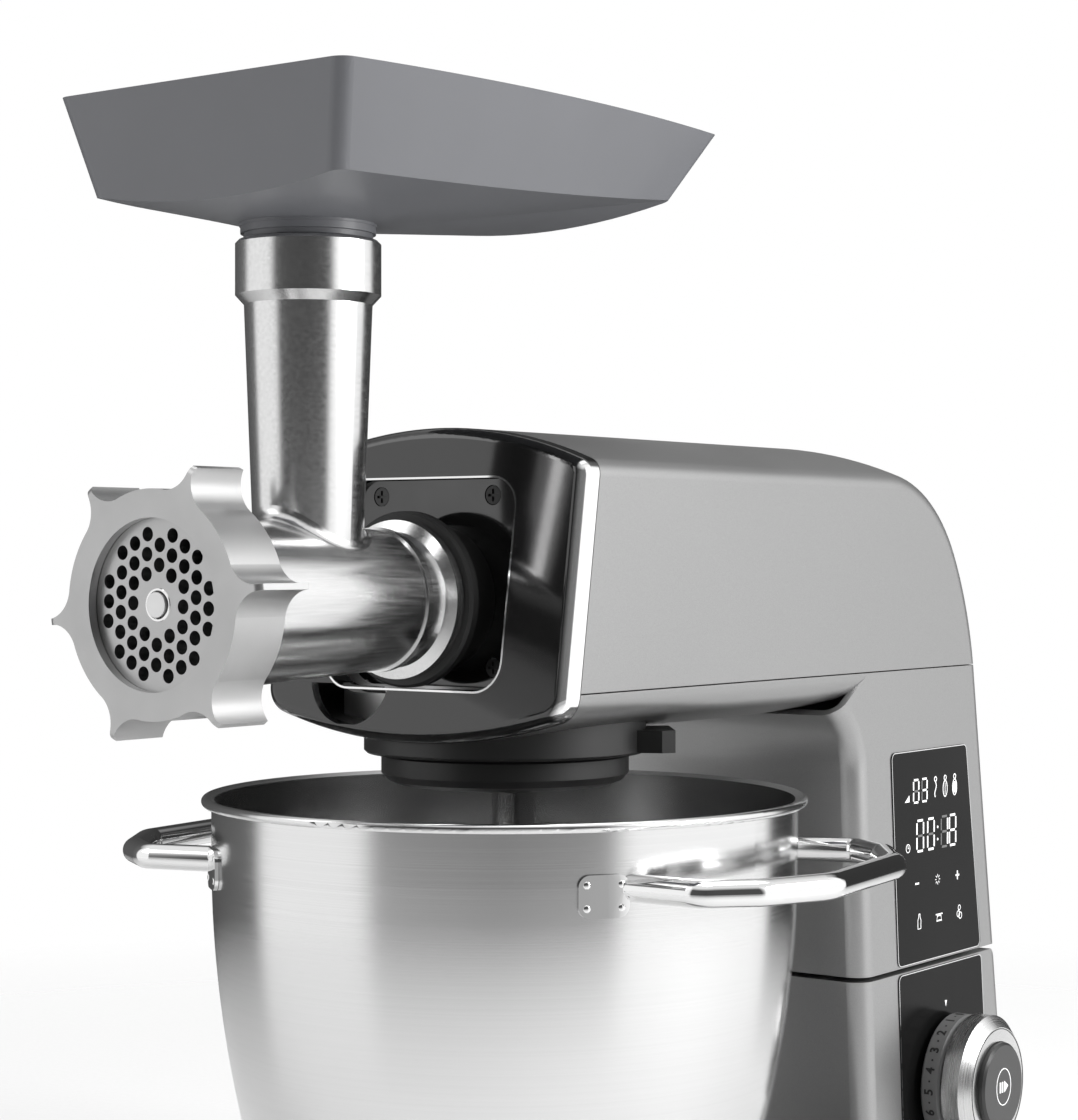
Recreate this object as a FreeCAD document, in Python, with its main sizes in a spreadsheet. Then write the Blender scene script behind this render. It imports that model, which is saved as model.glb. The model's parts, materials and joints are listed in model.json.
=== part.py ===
import FreeCAD, Part
import math
import os
import re

import Sketcher

# Stand mixer with a meat grinder on its front hub, a feed tray and a bowl.
# Millimetres, +Z up. The origin lies on the table, below the middle of the machine.
# Every sub-part is drawn in its own local frame and carried to its place by its Placement.

V = FreeCAD.Vector
UP = V(0, 0, 1)
ALONG_X = V(1, 0, 0)
ALONG_Y = V(0, 1, 0)
FULL_TURN = 360.0

DIMENSIONS = {
    # the frame: the bowl's axis lies ahead of the origin
    "axis_y": -57.3,
    # arm and column, seen from the side
    "arm_half": 68.0,
    "edge_z": 342.3,
    "crest_z": 356.0,
    "crown_rad": 175.6,
    "crease_rad": 7.0,
    "belly_z": 243.6,
    "belly_rad": 217.0,
    "belly_corner": 10.0,
    "bend_y": 176.0,
    "bend_rad": 66.0,
    "bend_turn": 58.0,
    "nape_rad": 134.0,
    "nape_turn": 23.4,
    "rear_bulge": 4.0,
    "front_y": -51.0,
    "front_ref_z": 300.0,
    "front_lean": 8.81,
    "seam_z": 262.7,
    "seam_gap": 0.5,
    "gap_low": 137.0,
    "gap_high": 139.0,
    "column_y": 145.0,
    "column_ref_z": 220.0,
    "column_lean": 3.36,
    "column_corner": 8.0,
    "throat_rad": 28.0,
    "shell_wall": 3.0,
    "bezel_depth": 9.0,
    # hub recess in the front
    "recess_half": 39.5,
    "recess_low": 263.0,
    "recess_high": 337.5,
    "recess_corner": 11.0,
    "panel_y": -41.0,
    "hub_z": 294.7,
    # base
    "base_high": 40.0,
    "base_low": 4.5,
    "base_rad": 110.0,
    "heel_x": 44.0,
    "heel_y": 264.0,
    "heel_rad": 30.0,
    "plate_thick": 2.0,
    "foot_rad": 13.0,
    # bowl
    "bowl_rim_z": 222.0,
    "bowl_rad": 108.4,
    "bowl_wall": 1.0,
    "foot_ring_rad": 62.0,
    "seat_z": 37.8,
    "handle_z": 199.5,
    "handle_swing": 8.0,
    "bar_rad": 4.7,
    # planetary drive
    "main_rad": 6.0,
    "orbit_rad": 24.0,
    "orbit_angle": -45.0,
    "planet_module": 1.5,
    "planet_teeth": 16,
    "ring_teeth": 48,
    "splash_rad": 52.4,
    "carrier_rad": 46.0,
    # main drive
    "spur_module": 1.2,
    "pinion_teeth": 12,
    "main_teeth": 48,
    "bevel_module": 2.0,
    "bevel_pinion_teeth": 12,
    "bevel_gear_teeth": 24,
    "bevel_face": 9.0,
    # grinder
    "feed_y": -110.0,
    "nut_front_y": -184.55,
    "nut_rad": 36.6,
    "nut_tip_rad": 46.6,
    "nut_depth": 22.5,
    "nut_mouth_rad": 27.5,
    "plate_rad": 31.0,
    "plate_face_y": -181.1,
    "plate_deep": 6.5,
    "plate_hole_rad": 2.32,
    "plate_pitch": 6.3,
    "tube_bore_rad": 16.4,
    "neck_bore_rad": 17.0,
    # tray
    "tray_rim_z": 463.0,
    "tray_wall": 2.4,
    # dial
    "dial_y": 221.0,
    "dial_z": 87.0,
    "dial_rad": 29.0,
    "skirt_rad": 28.3,
    "button_rad": 18.3,
    # hinge
    "hinge_y": 264.0,
    "hinge_z": 138.0,
    "pin_rad": 3.5,
    "ear_rad": 6.0,
    "run_gap": 0.05,
    "clear_gap": 0.3,
}

doc = FreeCAD.newDocument("StandMixerGrinder")
sheet = doc.addObject("Spreadsheet::Sheet", "Dim")
for row, (alias, size) in enumerate(DIMENSIONS.items(), start=1):
    sheet.set(f"A{row}", alias.replace("_", " "))
    sheet.set(f"B{row}", str(size))
    sheet.setAlias(f"B{row}", alias)
doc.recompute()

parts = {}


# ---------------------------------------------------------------- helpers

def bound(text):
    """Expression text with every dimension name pointed at the sheet."""
    return re.sub(r"[a-z_]+", lambda m: f"Dim.{m[0]}" if m[0] in DIMENSIONS else m[0], str(text))


def size(text):
    """Number that an expression of dimension names gives."""
    return float(sheet.evalExpression(bound(text)))


def place(item, label, x="0", y="0", z="0"):
    """Name a finished sub-part and carry it to its place; y counts from the bowl's axis."""
    item.Label = label
    item.setExpression("Placement.Base.x", bound(x))
    item.setExpression("Placement.Base.y", bound(f"axis_y + ({y})"))
    item.setExpression("Placement.Base.z", bound(z))
    parts[label] = item
    return item


def new_body(label, **where):
    return place(doc.addObject("PartDesign::Body", label), label, **where)


def new_sketch(body, plane, lift="0"):
    """Sketch on one of the body's own origin planes, lifted along the plane's normal."""
    sketch = body.newObject("Sketcher::SketchObject", f"{body.Label}_outline")
    origin_plane = [item for item in body.Origin.OriginFeatures if item.Role == f"{plane}_Plane"][0]
    sketch.AttachmentSupport = [(origin_plane, "")]
    sketch.MapMode = "FlatFace"
    sketch.setExpression("AttachmentOffset.Base.z", bound(lift))
    return sketch


def pin_point(sketch, geo, end, across, up):
    """Fix a point of the sketch at a place that the sheet drives."""
    for kind, text in (("DistanceX", across), ("DistanceY", up)):
        number = sketch.addConstraint(Sketcher.Constraint(kind, -1, 1, geo, end, size(text)))
        sketch.setExpression(f"Constraints[{number}]", bound(text))


def draw_outline(sketch, points):
    """Closed outline. A third value on a point bends the run that leaves it: radius, + turns left."""
    first = sketch.GeometryCount
    ends = []
    for index, point in enumerate(points):
        follower = points[(index + 1) % len(points)]
        start = V(size(point[0]), size(point[1]), 0)
        stop = V(size(follower[0]), size(follower[1]), 0)
        if len(point) == 2:
            sketch.addGeometry(Part.LineSegment(start, stop))
            ends.append((1, 2))
            continue
        bend = size(point[2])
        chord = stop - start
        left = V(-chord.y, chord.x, 0).normalize()
        rise = math.sqrt(bend * bend - chord.Length ** 2 / 4)
        centre = (start + stop) * 0.5 + left * math.copysign(rise, bend)
        low, high = (start, stop) if bend > 0 else (stop, start)
        from_angle = math.atan2(low.y - centre.y, low.x - centre.x)
        to_angle = math.atan2(high.y - centre.y, high.x - centre.x)
        if to_angle < from_angle:
            to_angle += 2 * math.pi
        circle = Part.Circle(centre, UP, abs(bend))
        geo = sketch.addGeometry(Part.ArcOfCircle(circle, from_angle, to_angle))
        number = sketch.addConstraint(Sketcher.Constraint("Radius", geo, abs(bend)))
        sketch.setExpression(f"Constraints[{number}]", bound(f"abs({point[2]})"))
        ends.append((1, 2) if bend > 0 else (2, 1))
    for index, point in enumerate(points):
        following = (index + 1) % len(points)
        sketch.addConstraint(Sketcher.Constraint(
            "Coincident", first + index, ends[index][1], first + following, ends[following][0]))
        pin_point(sketch, first + index, ends[index][0], point[0], point[1])


def draw_circle(sketch, across, up, radius):
    geo = sketch.addGeometry(Part.Circle(V(size(across), size(up), 0), UP, size(radius)))
    pin_point(sketch, geo, 3, across, up)
    number = sketch.addConstraint(Sketcher.Constraint("Radius", geo, size(radius)))
    sketch.setExpression(f"Constraints[{number}]", bound(radius))


def turned(label, axis, points, **where):
    """Body turned about its local axis; points are (along or radius, radius or height)."""
    body = new_body(label, **where)
    sketch = new_sketch(body, {"Z": "XZ", "Y": "YZ", "X": "XZ"}[axis])
    draw_outline(sketch, points)
    doc.recompute()
    turn = body.newObject("PartDesign::Revolution", f"{label}_turn")
    turn.Profile = sketch
    turn.ReferenceAxis = (sketch, ["V_Axis" if axis == "Z" else "H_Axis"])
    turn.Angle = FULL_TURN
    body.Tip = turn
    return body


def padded(body, plane, draw, length, lift="0", both=False, reverse=False):
    """Pad of what draw() puts on the plane."""
    sketch = new_sketch(body, plane, lift)
    draw(sketch)
    doc.recompute()
    pad = body.newObject("PartDesign::Pad", f"{body.Label}_pad")
    pad.Profile = sketch
    pad.setExpression("Length", bound(length))
    pad.Midplane = both
    pad.Reversed = reverse
    body.Tip = pad
    doc.recompute()
    return pad


def pocketed(body, plane, draw, length, lift="0", both=False, reverse=False):
    """Pocket of what draw() puts on the plane; it has to take material away."""
    before = body.Shape.Volume
    sketch = new_sketch(body, plane, lift)
    draw(sketch)
    doc.recompute()
    pocket = body.newObject("PartDesign::Pocket", f"{body.Label}_pocket")
    pocket.Profile = sketch
    pocket.setExpression("Length", bound(length))
    pocket.Midplane = both
    pocket.Reversed = reverse
    body.Tip = pocket
    doc.recompute()
    if not body.Shape.Volume < before - 0.01:
        raise RuntimeError(f"{body.Label}: a pocket cut nothing")
    return pocket


def shaped(label, shape, **where):
    """Sub-part whose surface has no sketch of its own."""
    item = doc.addObject("Part::Feature", label)
    item.Shape = shape if shape.Placement.isIdentity() else Part.makeCompound([shape])
    return place(item, label, **where)


def box(x0, x1, y0, y1, z0, z1):
    """Block between two corners given as expressions or numbers."""
    low = V(size(x0), size(y0), size(z0))
    high = V(size(x1), size(y1), size(z1))
    span = high - low
    return Part.makeBox(span.x, span.y, span.z, low)


def rod(radius, length, start, direction=UP):
    return Part.makeCylinder(size(radius), size(length), start, direction)


def fused(solids):
    whole = solids[0]
    if len(solids) > 1:
        whole = whole.multiFuse(solids[1:])
    return whole.removeSplitter()


def ring_of(count, first=0.0, step=None):
    """Angles in degrees, evenly spaced round a circle."""
    step = step or FULL_TURN / count
    return [first + step * index for index in range(count)]


def around(radius, angle):
    turn = math.radians(angle)
    return radius * math.cos(turn), radius * math.sin(turn)


# ---------------------------------------------------------------- arm and column surface

def flip(point):
    """The point's mirror image across the machine's middle plane."""
    return V(-point.x, point.y, point.z)


def crown_edges(inset, low):
    """Edges of the arm's upper cross-section in the XZ plane, from left to right, above low."""
    half = size("arm_half") - inset
    corner = max(size("crease_rad") - inset, 1.0)
    crown = size("crown_rad") - inset
    centre_z = size("crest_z") - size("crown_rad")
    corner_z = centre_z + math.sqrt((crown - corner) ** 2 - (half - corner) ** 2)
    lean = math.atan2(corner_z - centre_z, half - corner)
    touch = V(crown * math.cos(lean), 0, centre_z + crown * math.sin(lean))
    middle = (lean / 2) if lean < math.pi / 2 else 0
    knee = V(half - corner + corner * math.cos(middle), 0, corner_z + corner * math.sin(middle))
    side = V(half, 0, corner_z)
    return [
        Part.makeLine(V(-half, 0, low), flip(side)),
        Part.Arc(flip(side), flip(knee), flip(touch)).toShape(),
        Part.Arc(flip(touch), V(0, 0, centre_z + crown), touch).toShape(),
        Part.Arc(touch, knee, side).toShape(),
        Part.makeLine(side, V(half, 0, low)),
    ]


def belly_edges(inset, high):
    """Edges of the arm's lower cross-section, from right to left, below high."""
    half = size("arm_half") - inset
    corner = max(size("belly_corner") - inset, 1.0)
    belly = size("belly_rad") - inset
    centre_z = size("belly_z") + size("belly_rad")
    corner_z = centre_z - math.sqrt((belly - corner) ** 2 - (half - corner) ** 2)
    lean = math.atan2(centre_z - corner_z, half - corner)
    touch = V(belly * math.cos(lean), 0, centre_z - belly * math.sin(lean))
    middle = lean / 2
    knee = V(half - corner + corner * math.cos(middle), 0, corner_z - corner * math.sin(middle))
    side = V(half, 0, corner_z)
    return [
        Part.makeLine(V(half, 0, high), side),
        Part.Arc(side, knee, touch).toShape(),
        Part.Arc(touch, V(0, 0, centre_z - belly), flip(touch)).toShape(),
        Part.Arc(flip(touch), flip(knee), flip(side)).toShape(),
        Part.makeLine(flip(side), V(-half, 0, high)),
    ]


def crown_face(inset, low):
    edges = crown_edges(inset, low)
    half = size("arm_half") - inset
    edges.append(Part.makeLine(V(half, 0, low), V(-half, 0, low)))
    return Part.Face(Part.Wire(edges))


def front_block(offset):
    """Everything behind the leaning front plane, moved back by offset."""
    reach = 700.0
    block = Part.makeBox(reach, reach, reach, V(-reach / 2, 0, -reach / 2))
    block.rotate(V(0, 0, 0), ALONG_X, -size("front_lean"))
    block.translate(V(0, size("front_y") + offset / math.cos(math.radians(size("front_lean"))),
                      size("front_ref_z")))
    return block


def side_slab(points, half):
    """Prism across the machine from an outline of (y, z) points; a third value is an arc's middle."""
    edges = []
    for index, point in enumerate(points):
        follower = points[(index + 1) % len(points)]
        start, stop = V(-half, point[0], point[1]), V(-half, follower[0], follower[1])
        if len(point) == 3:
            edges.append(Part.Arc(start, V(-half, *point[2]), stop).toShape())
        else:
            edges.append(Part.makeLine(start, stop))
    return Part.Face(Part.Wire(edges)).extrude(V(2 * half, 0, 0))


def column_front(height):
    return size("column_y") + (size("column_ref_z") - height) * math.tan(math.radians(size("column_lean")))


def arm_and_column(inset):
    """Solid inside the outer surface of arm and column, drawn in by inset all round."""
    half = size("arm_half") - inset
    edge_z, bend, nape = size("edge_z"), size("bend_rad"), size("nape_rad")
    bend_turn, nape_turn = size("bend_turn"), size("nape_turn")
    deep = 150.0
    # the straight arm, crowned above and rounded below
    meet_z = 300.0
    section = Part.Face(Part.Wire(crown_edges(inset, meet_z) + belly_edges(inset, meet_z)))
    section.translate(V(0, -100, 0))
    arm = section.extrude(V(0, size("bend_y") + 100, 0))
    # the crown follows the back down: two bends, then a straight lean
    back = []
    pivot = V(0, size("bend_y"), edge_z - bend)
    face = crown_face(inset, edge_z - bend)
    face.translate(V(0, size("bend_y"), 0))
    back.append(face.revolve(pivot, V(-1, 0, 0), bend_turn))
    pivot_two = V(0, size("bend_y"), edge_z - nape)
    face = crown_face(inset, edge_z - nape)
    face.translate(V(0, size("bend_y"), 0))
    swept = face.revolve(pivot_two, V(-1, 0, 0), nape_turn)
    swept.rotate(V(0, size("bend_y"), edge_z), V(-1, 0, 0), bend_turn)
    corner_shift = V(0, bend * math.sin(math.radians(bend_turn)),
                     -bend * (1 - math.cos(math.radians(bend_turn))))
    swept.translate(corner_shift)
    back.append(swept)
    nape_end = bend_turn + nape_turn
    fall = V(0, math.cos(math.radians(nape_end)), -math.sin(math.radians(nape_end)))
    end_shift = corner_shift + V(
        0, nape * (math.sin(math.radians(nape_end)) - math.sin(math.radians(bend_turn))),
        -nape * (math.cos(math.radians(bend_turn)) - math.cos(math.radians(nape_end))))
    face = crown_face(inset, edge_z - deep)
    face.translate(V(0, size("bend_y"), 0))
    face.rotate(V(0, size("bend_y"), edge_z), V(-1, 0, 0), nape_end)
    face.translate(end_shift)
    back.append(face.extrude(fall * 320))
    behind = fused(back)
    # the rear is flattened a little outside the line of the side edges
    edge_point = V(0, size("bend_y"), edge_z) + end_shift
    outward = V(0, -fall.z, fall.y)
    flat = edge_point + outward * (size("rear_bulge") - inset)
    cutter = Part.makeBox(400, 400, 900, V(-200, 0, -600))
    cutter.rotate(V(0, 0, 0), ALONG_X, 90 - nape_end)
    cutter.translate(flat)
    behind = behind.cut(cutter)
    # the column's front wall runs into the arm's underside in one hollow curve
    throat = size("throat_rad")
    roof_z = size("belly_z") + 5.0 + inset
    turn_z = roof_z - throat - inset
    wall_y = column_front(turn_z) + inset
    centre = (wall_y - throat - inset, turn_z)
    bow = (throat + inset) / math.sqrt(2)
    column = side_slab([
        (centre[0], roof_z, (centre[0] + bow, centre[1] + bow)),
        (wall_y, turn_z),
        (column_front(-20) + inset, -20),
        (400, -20), (400, 400), (centre[0], 400)], half)
    corner = max(size("column_corner") - inset, 1.0)
    upright = []
    for edge in column.Edges:
        box_of = edge.BoundBox
        on_side = abs(abs(box_of.XMax) - half) < 0.01 and box_of.XLength < 0.01
        if on_side and box_of.YMax < wall_y + 20 and box_of.ZMax < roof_z + 0.01:
            upright.append(edge)
    column = column.makeFillet(corner, upright)
    whole = fused([arm, behind.common(column)])
    return whole.common(front_block(inset))


OUTER = arm_and_column(0.0)
INNER = arm_and_column(size("shell_wall"))


def slice_z(shape, low, high):
    return shape.common(box(-200, 200, -300, 500, low, high))


def rounded_block(x_half, z_low, z_high, y0, y1, corner, x_mid=0.0):
    """Block along Y with rounded corners."""
    block = box(x_mid - x_half, x_mid + x_half, y0, y1, z_low, z_high)
    along = [edge for edge in block.Edges if edge.BoundBox.YLength > 0.9 * (y1 - y0)]
    return block.makeFillet(corner, along)


def hub_rod(radius, y0, y1):
    return rod(radius, size(y1) - size(y0), V(0, size(y0), size("hub_z")), ALONG_Y)


# ---------------------------------------------------------------- gears

def gear_wire(teeth, module, phase=0.0, inside=False, slack=0.12, crest=0.8):
    """Outline of a gear with straight-flanked teeth, in the XY plane; one tooth at the phase angle."""
    pitch_rad = teeth * module / 2
    half_pitch = math.pi * module / 4 * (1 - slack)
    tip, root = crest * module, 1.15 * module
    slope = math.tan(math.radians(20))
    sign = -1 if inside else 1
    tip_rad, root_rad = pitch_rad + sign * tip, pitch_rad - sign * root
    tip_half, root_half = half_pitch - tip * slope, half_pitch + root * slope
    points = []
    for angle in ring_of(teeth, phase):
        for radius, half in ((root_rad, -root_half), (tip_rad, -tip_half),
                             (tip_rad, tip_half), (root_rad, root_half)):
            across, up = around(radius, angle + math.degrees(half / radius))
            points.append(V(across, up, 0))
    return points


def polygon_wire(points):
    return Part.makePolygon(points + [points[0]])


def spur_gear(teeth, module, wide, bore, phase=0.0):
    gear = Part.Face(polygon_wire(gear_wire(teeth, module, phase))).extrude(V(0, 0, wide))
    return gear.cut(Part.makeCylinder(bore, wide + 2, V(0, 0, -1)))


def bevel_gear(teeth, module, apex, face_wide, bore, hub_rad, hub_long, phase=0.0):
    """Bevel gear whose large end lies in the XY plane and whose apex is at +Z apex."""
    points = gear_wire(teeth, module, phase, slack=0.55, crest=0.6)
    cone = math.hypot(teeth * module / 2, apex)
    shrink = 1 - face_wide / cone
    small = [V(p.x * shrink, p.y * shrink, apex * (1 - shrink)) for p in points]
    gear = Part.makeLoft([polygon_wire(points), polygon_wire(small)], True, True)
    hub = Part.makeCylinder(hub_rad, hub_long, V(0, 0, -hub_long))
    gear = gear.fuse(hub)
    return gear.cut(Part.makeCylinder(bore, 200, V(0, 0, -100))).removeSplitter()


# ---------------------------------------------------------------- base

def base_outline(inset):
    """Face of the base's footprint: a round front drawn in to the column behind."""
    front = size("base_rad") - inset
    heel = size("heel_rad") - inset
    heel_x, heel_y = size("heel_x"), size("heel_y")
    far = math.hypot(heel_x, heel_y)
    lean = math.atan2(heel_y, heel_x) - math.acos((front - heel) / far)
    normal = V(math.cos(lean), math.sin(lean), 0)
    fore = normal * front
    aft = V(heel_x, heel_y, 0) + normal * heel
    rear = V(heel_x, heel_y + heel, 0)
    heel_mid = V(heel_x, heel_y, 0) + V(math.cos((lean + math.pi / 2) / 2),
                                        math.sin((lean + math.pi / 2) / 2), 0) * heel
    return Part.Face(Part.Wire([
        Part.Arc(flip(fore), V(0, -front, 0), fore).toShape(),
        Part.makeLine(fore, aft),
        Part.Arc(aft, heel_mid, rear).toShape(),
        Part.makeLine(rear, flip(rear)),
        Part.Arc(flip(rear), flip(heel_mid), flip(aft)).toShape(),
        Part.makeLine(flip(aft), flip(fore))]))


def base_block(inset, low, high, edge_rad):
    face = base_outline(inset)
    face.translate(V(0, 0, low))
    block = face.extrude(V(0, 0, high - low))
    if edge_rad > 0:
        top = [edge for edge in block.Edges
               if edge.BoundBox.ZMin > high - 0.01]
        block = block.makeFillet(edge_rad, top)
    return block


def hinge_relief():
    """Wedge behind the hinge axis that the arm's heel swings down into."""
    y, z = size("hinge_y"), size("hinge_z")
    reach = 40.0
    return side_slab([(y, z + 2), (y, z), (y + reach, z - reach * math.tan(math.radians(46))),
                      (y + reach, z + 2)], 100)


DIAL_AT = V(0, size("dial_y"), size("dial_z"))
SCREW_SPOTS = [(-78, -40), (78, -40), (0, -95), (-62, 170), (62, 170), (0, 270)]
FOOT_SPOTS = [(-62, -62), (62, -62), (-48, 250), (48, 250)]
LATCH_Y = (198.0, 212.0)

wall = size("shell_wall")
base_outer = fused([base_block(0, size("base_low"), size("base_high"), 9.0),
                    slice_z(OUTER, 10, "gap_low")])
base_inner = fused([base_block(wall, size("base_low") - 1, size("base_high") - wall, 6.0),
                    slice_z(INNER, 10, size("gap_low") - wall)])
base = base_outer.cut(base_inner)
base = base.cut(rod("foot_ring_rad + 6.3", 20, V(0, 0, 30)))
base = base.cut(hinge_relief())
base = base.cut(box(-45, 45, "hinge_y - 14", "hinge_y + ear_rad + 0.4", 120, 140))
base = base.cut(box(-40, -16, LATCH_Y[0] - 2, LATCH_Y[1] + 2, 130, 140))
base = base.cut(rod(12.3, 12, V(60, size("dial_y"), size("dial_z")), ALONG_X))
base = base.cut(rod(10.4, 12, V(-72, 205, 112), ALONG_X))
base = base.cut(rod(6.1, 30, V(-40, 275, 22), ALONG_Y))


def glass_outline(low, high, left, right, depth, out=0.0, corner=3.0):
    """Upright pane on the right-hand side; left and right are y at (low, high)."""
    x0 = size("arm_half") + out
    points = [V(x0, left[0], low), V(x0, right[0], low), V(x0, right[1], high), V(x0, left[1], high)]
    pane = Part.Face(polygon_wire(points)).extrude(V(-depth, 0, 0))
    short = [edge for edge in pane.Edges if edge.BoundBox.XLength > 0.9 * depth
             and edge.BoundBox.YLength < 0.01]
    return pane.makeFillet(corner, short) if corner else pane


GLASS_UPPER = (139.6, 228.8, (178.9, 172.4), (254.2, 239.6))
GLASS_LOWER = (46.0, 136.4, (184.4, 178.9), (263.5, 254.2))
base = base.cut(glass_outline(*GLASS_LOWER, depth=2.0))
shaped("base_housing", base)

plate = base_block(wall + 0.3, size("base_low"), size("base_low") + size("plate_thick"), 0)
for spot in SCREW_SPOTS:
    plate = plate.cut(rod(1.8, 10, V(spot[0], spot[1], 0)))
shaped("base_plate", plate)

feet = []
for x, y in FOOT_SPOTS:
    foot = rod("foot_rad", "base_low", V(x, y, 0))
    rim = [edge for edge in foot.Edges if edge.BoundBox.ZMax < 0.01]
    feet.append(foot.makeChamfer(1.0, rim))
shaped("rubber_feet", Part.makeCompound(feet))

screws = []
for x, y in SCREW_SPOTS:
    head = rod(3.4, 1.6, V(x, y, size("base_low") - 1.6))
    screws.append(head.fuse(rod(1.7, 10, V(x, y, size("base_low")))).cut(
        box(x - 2.6, x + 2.6, y - 0.5, y + 0.5, "base_low - 2", "base_low - 1")))
shaped("base_screws", Part.makeCompound(screws))

cells = []
for x, y in FOOT_SPOTS:
    inward = -1 if x > 0 else 1
    x0, x1 = sorted((x + inward * 40, x - inward * 8))
    low = size("base_low + plate_thick")
    bar = box(x0, x1, y - 6, y + 6, low + 1, low + 12)
    for shift in (14, 22):
        bar = bar.cut(rod(3.2, 14, V(x + inward * shift, y - 7, low + 6.5), ALONG_Y))
    bar = bar.fuse(box(min(x, x + inward * 6), max(x, x + inward * 6), y - 5, y + 5, low, low + 1))
    cells.append(bar)
shaped("load_cells", Part.makeCompound(cells))

board = box(-34, 34, 172, 242, 12, 13.6)
for x, y, across, deep, tall in ((-22, 190, 14, 14, 22), (-2, 190, 16, 20, 12), (20, 192, 18, 22, 16),
                                 (-20, 222, 20, 12, 10), (18, 226, 10, 24, 20)):
    board = board.fuse(box(x - across / 2, x + across / 2, y - deep / 2, y + deep / 2, 13.6, 13.6 + tall))
for x in (-30, 30):
    for y in (176, 238):
        board = board.fuse(rod(2.5, 5.5, V(x, y, 6.5)))
shaped("power_board", board.removeSplitter())

seat = turned("bowl_seat", "Z", [
    ("0", "seat_z - 4"), ("foot_ring_rad + 6", "seat_z - 4"), ("foot_ring_rad + 6", "base_high + 2.5"),
    ("foot_ring_rad + 4", "base_high + 3.5"), ("foot_ring_rad + 3.4", "base_high + 2.5"),
    ("foot_ring_rad + 3.4", "seat_z"), ("0", "seat_z")])
doc.recompute()
for number, angle in enumerate(ring_of(3, 90)):
    # lugs that hook over the bowl's tabs, cut from short sectors
    def lug(sketch, angle=angle):
        for_angles = (angle - 8, angle + 8)
        inner = [around(size("foot_ring_rad") + 1.1, a) for a in for_angles]
        outer = [around(size("foot_ring_rad") + 3.6, a) for a in for_angles]
        draw_outline(sketch, [inner[0], outer[0], outer[1], inner[1]])
    padded(seat, "XY", lug, "2.0", lift="seat_z + 3.2")

gland = turned("cord_gland", "Y", [
    ("0", "3.6"), ("-6", "3.6"), ("-6", "8"), ("-3.4", "8"), ("-3.4", "6"), ("0", "6"), ("0", "8.5"),
    ("2.5", "8.5"), ("5.15", "6.5"), ("5.15", "3.6")], x="-40", y="heel_y + heel_rad", z="22")

shaped("control_glass_lower", glass_outline(*GLASS_LOWER, depth=2.4, out=0.4).cut(
    rod(12.3, 20, V(58, size("dial_y"), size("dial_z")), ALONG_X)))

turned("dial_hub", "X", [
    ("58", "9"), ("88", "9"), ("88", "12"), ("65", "12"), ("65", "15"), ("61", "15"), ("61", "12"),
    ("58", "12")], y="dial_y", z="dial_z")
encoder = new_body("dial_encoder", y="dial_y", z="dial_z")
padded(encoder, "YZ", lambda sk: draw_outline(sk, [("-24", "-22"), ("24", "-22"), ("24", "22"),
                                                    ("-24", "22")]), "1.6", lift="56.4")
padded(encoder, "YZ", lambda sk: draw_outline(sk, [("-9", "-9"), ("9", "-9"), ("9", "9"), ("-9", "9")]),
       "8", lift="48.4")

bracket = []
y, z = size("hinge_y"), size("hinge_z")
slant = size("ear_rad") / math.sqrt(2)
for sign in (-1, 1):
    x0, x1 = sorted((sign * 31, sign * 36))
    ear = side_slab([(y - 26, z - 78), (y - 8, z - 78), (y - 8, z - 8 - 2 * slant), (y + slant, z - slant),
                     (y - 2 * slant + 2.5, z), (y - 14, z - 10), (y - 26, z - 28)], 200)
    ear = ear.fuse(rod("ear_rad", 400, V(-200, y, z), ALONG_X))
    bracket.append(ear.common(box(x0, x1, 200, 300, 50, 150)))
bracket.append(box(-65, 65, y - 26, y - 8, z - 81, z - 78))
bracket = fused(bracket).cut(rod("pin_rad", 200, V(-100, y, z), ALONG_X))
shaped("hinge_bracket", bracket)

turned("hinge_pin", "X", [
    ("-40", "0"), ("-40", "5.8"), ("-37", "5.8"), ("-37", "pin_rad"), ("38.5", "pin_rad"),
    ("40", "pin_rad - 1.5"), ("40", "0")], y="hinge_y", z="hinge_z")

# ---------------------------------------------------------------- dial, button, release

turned("dial_skirt", "X", [
    ("71", "12 + run_gap"), ("79.4", "12 + run_gap"), ("79.4", "skirt_rad - 1"), ("78.4", "skirt_rad"),
    ("71.8", "skirt_rad"), ("71", "skirt_rad - 0.8")], y="dial_y", z="dial_z")
turned("dial_ring", "X", [
    ("79.4", "12 + run_gap"), ("81", "12 + run_gap"), ("81", "button_rad + 0.35"),
    ("92.7", "button_rad + 0.35"), ("92.7", "dial_rad - 4.6"), ("88.6", "dial_rad"),
    ("81.2", "dial_rad"), ("81.2", "skirt_rad - 2.2"), ("79.4", "skirt_rad - 2.2")],
    y="dial_y", z="dial_z")
turned("start_button", "X", [
    ("70", "0"), ("70", "8.6"), ("90.6", "8.6"), ("90.6", "15"), ("83.5", "15"), ("83.5", "button_rad"),
    ("94.4", "button_rad"), ("95.4", "button_rad - 1"), ("95.4", "0")], y="dial_y", z="dial_z")

turned("release_button", "X", [
    ("-71.5", "0"), ("-71.5", "8.5"), ("-70", "10"), ("-62", "10"), ("-62", "0")], y="205", z="112")
latch = [box(-62, -24, 201, 209, 108, 114), box(-30, -24, 201, 209, 114, 151)]
shaped("latch_slide", fused(latch))

# ---------------------------------------------------------------- head shells

behind_bezel = front_block(size("bezel_depth") + 0.4)
shell_skin = OUTER.cut(INNER)
cover = slice_z(shell_skin, "seam_z + seam_gap / 2", 400).common(behind_bezel)
shaped("head_cover", cover)

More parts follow.
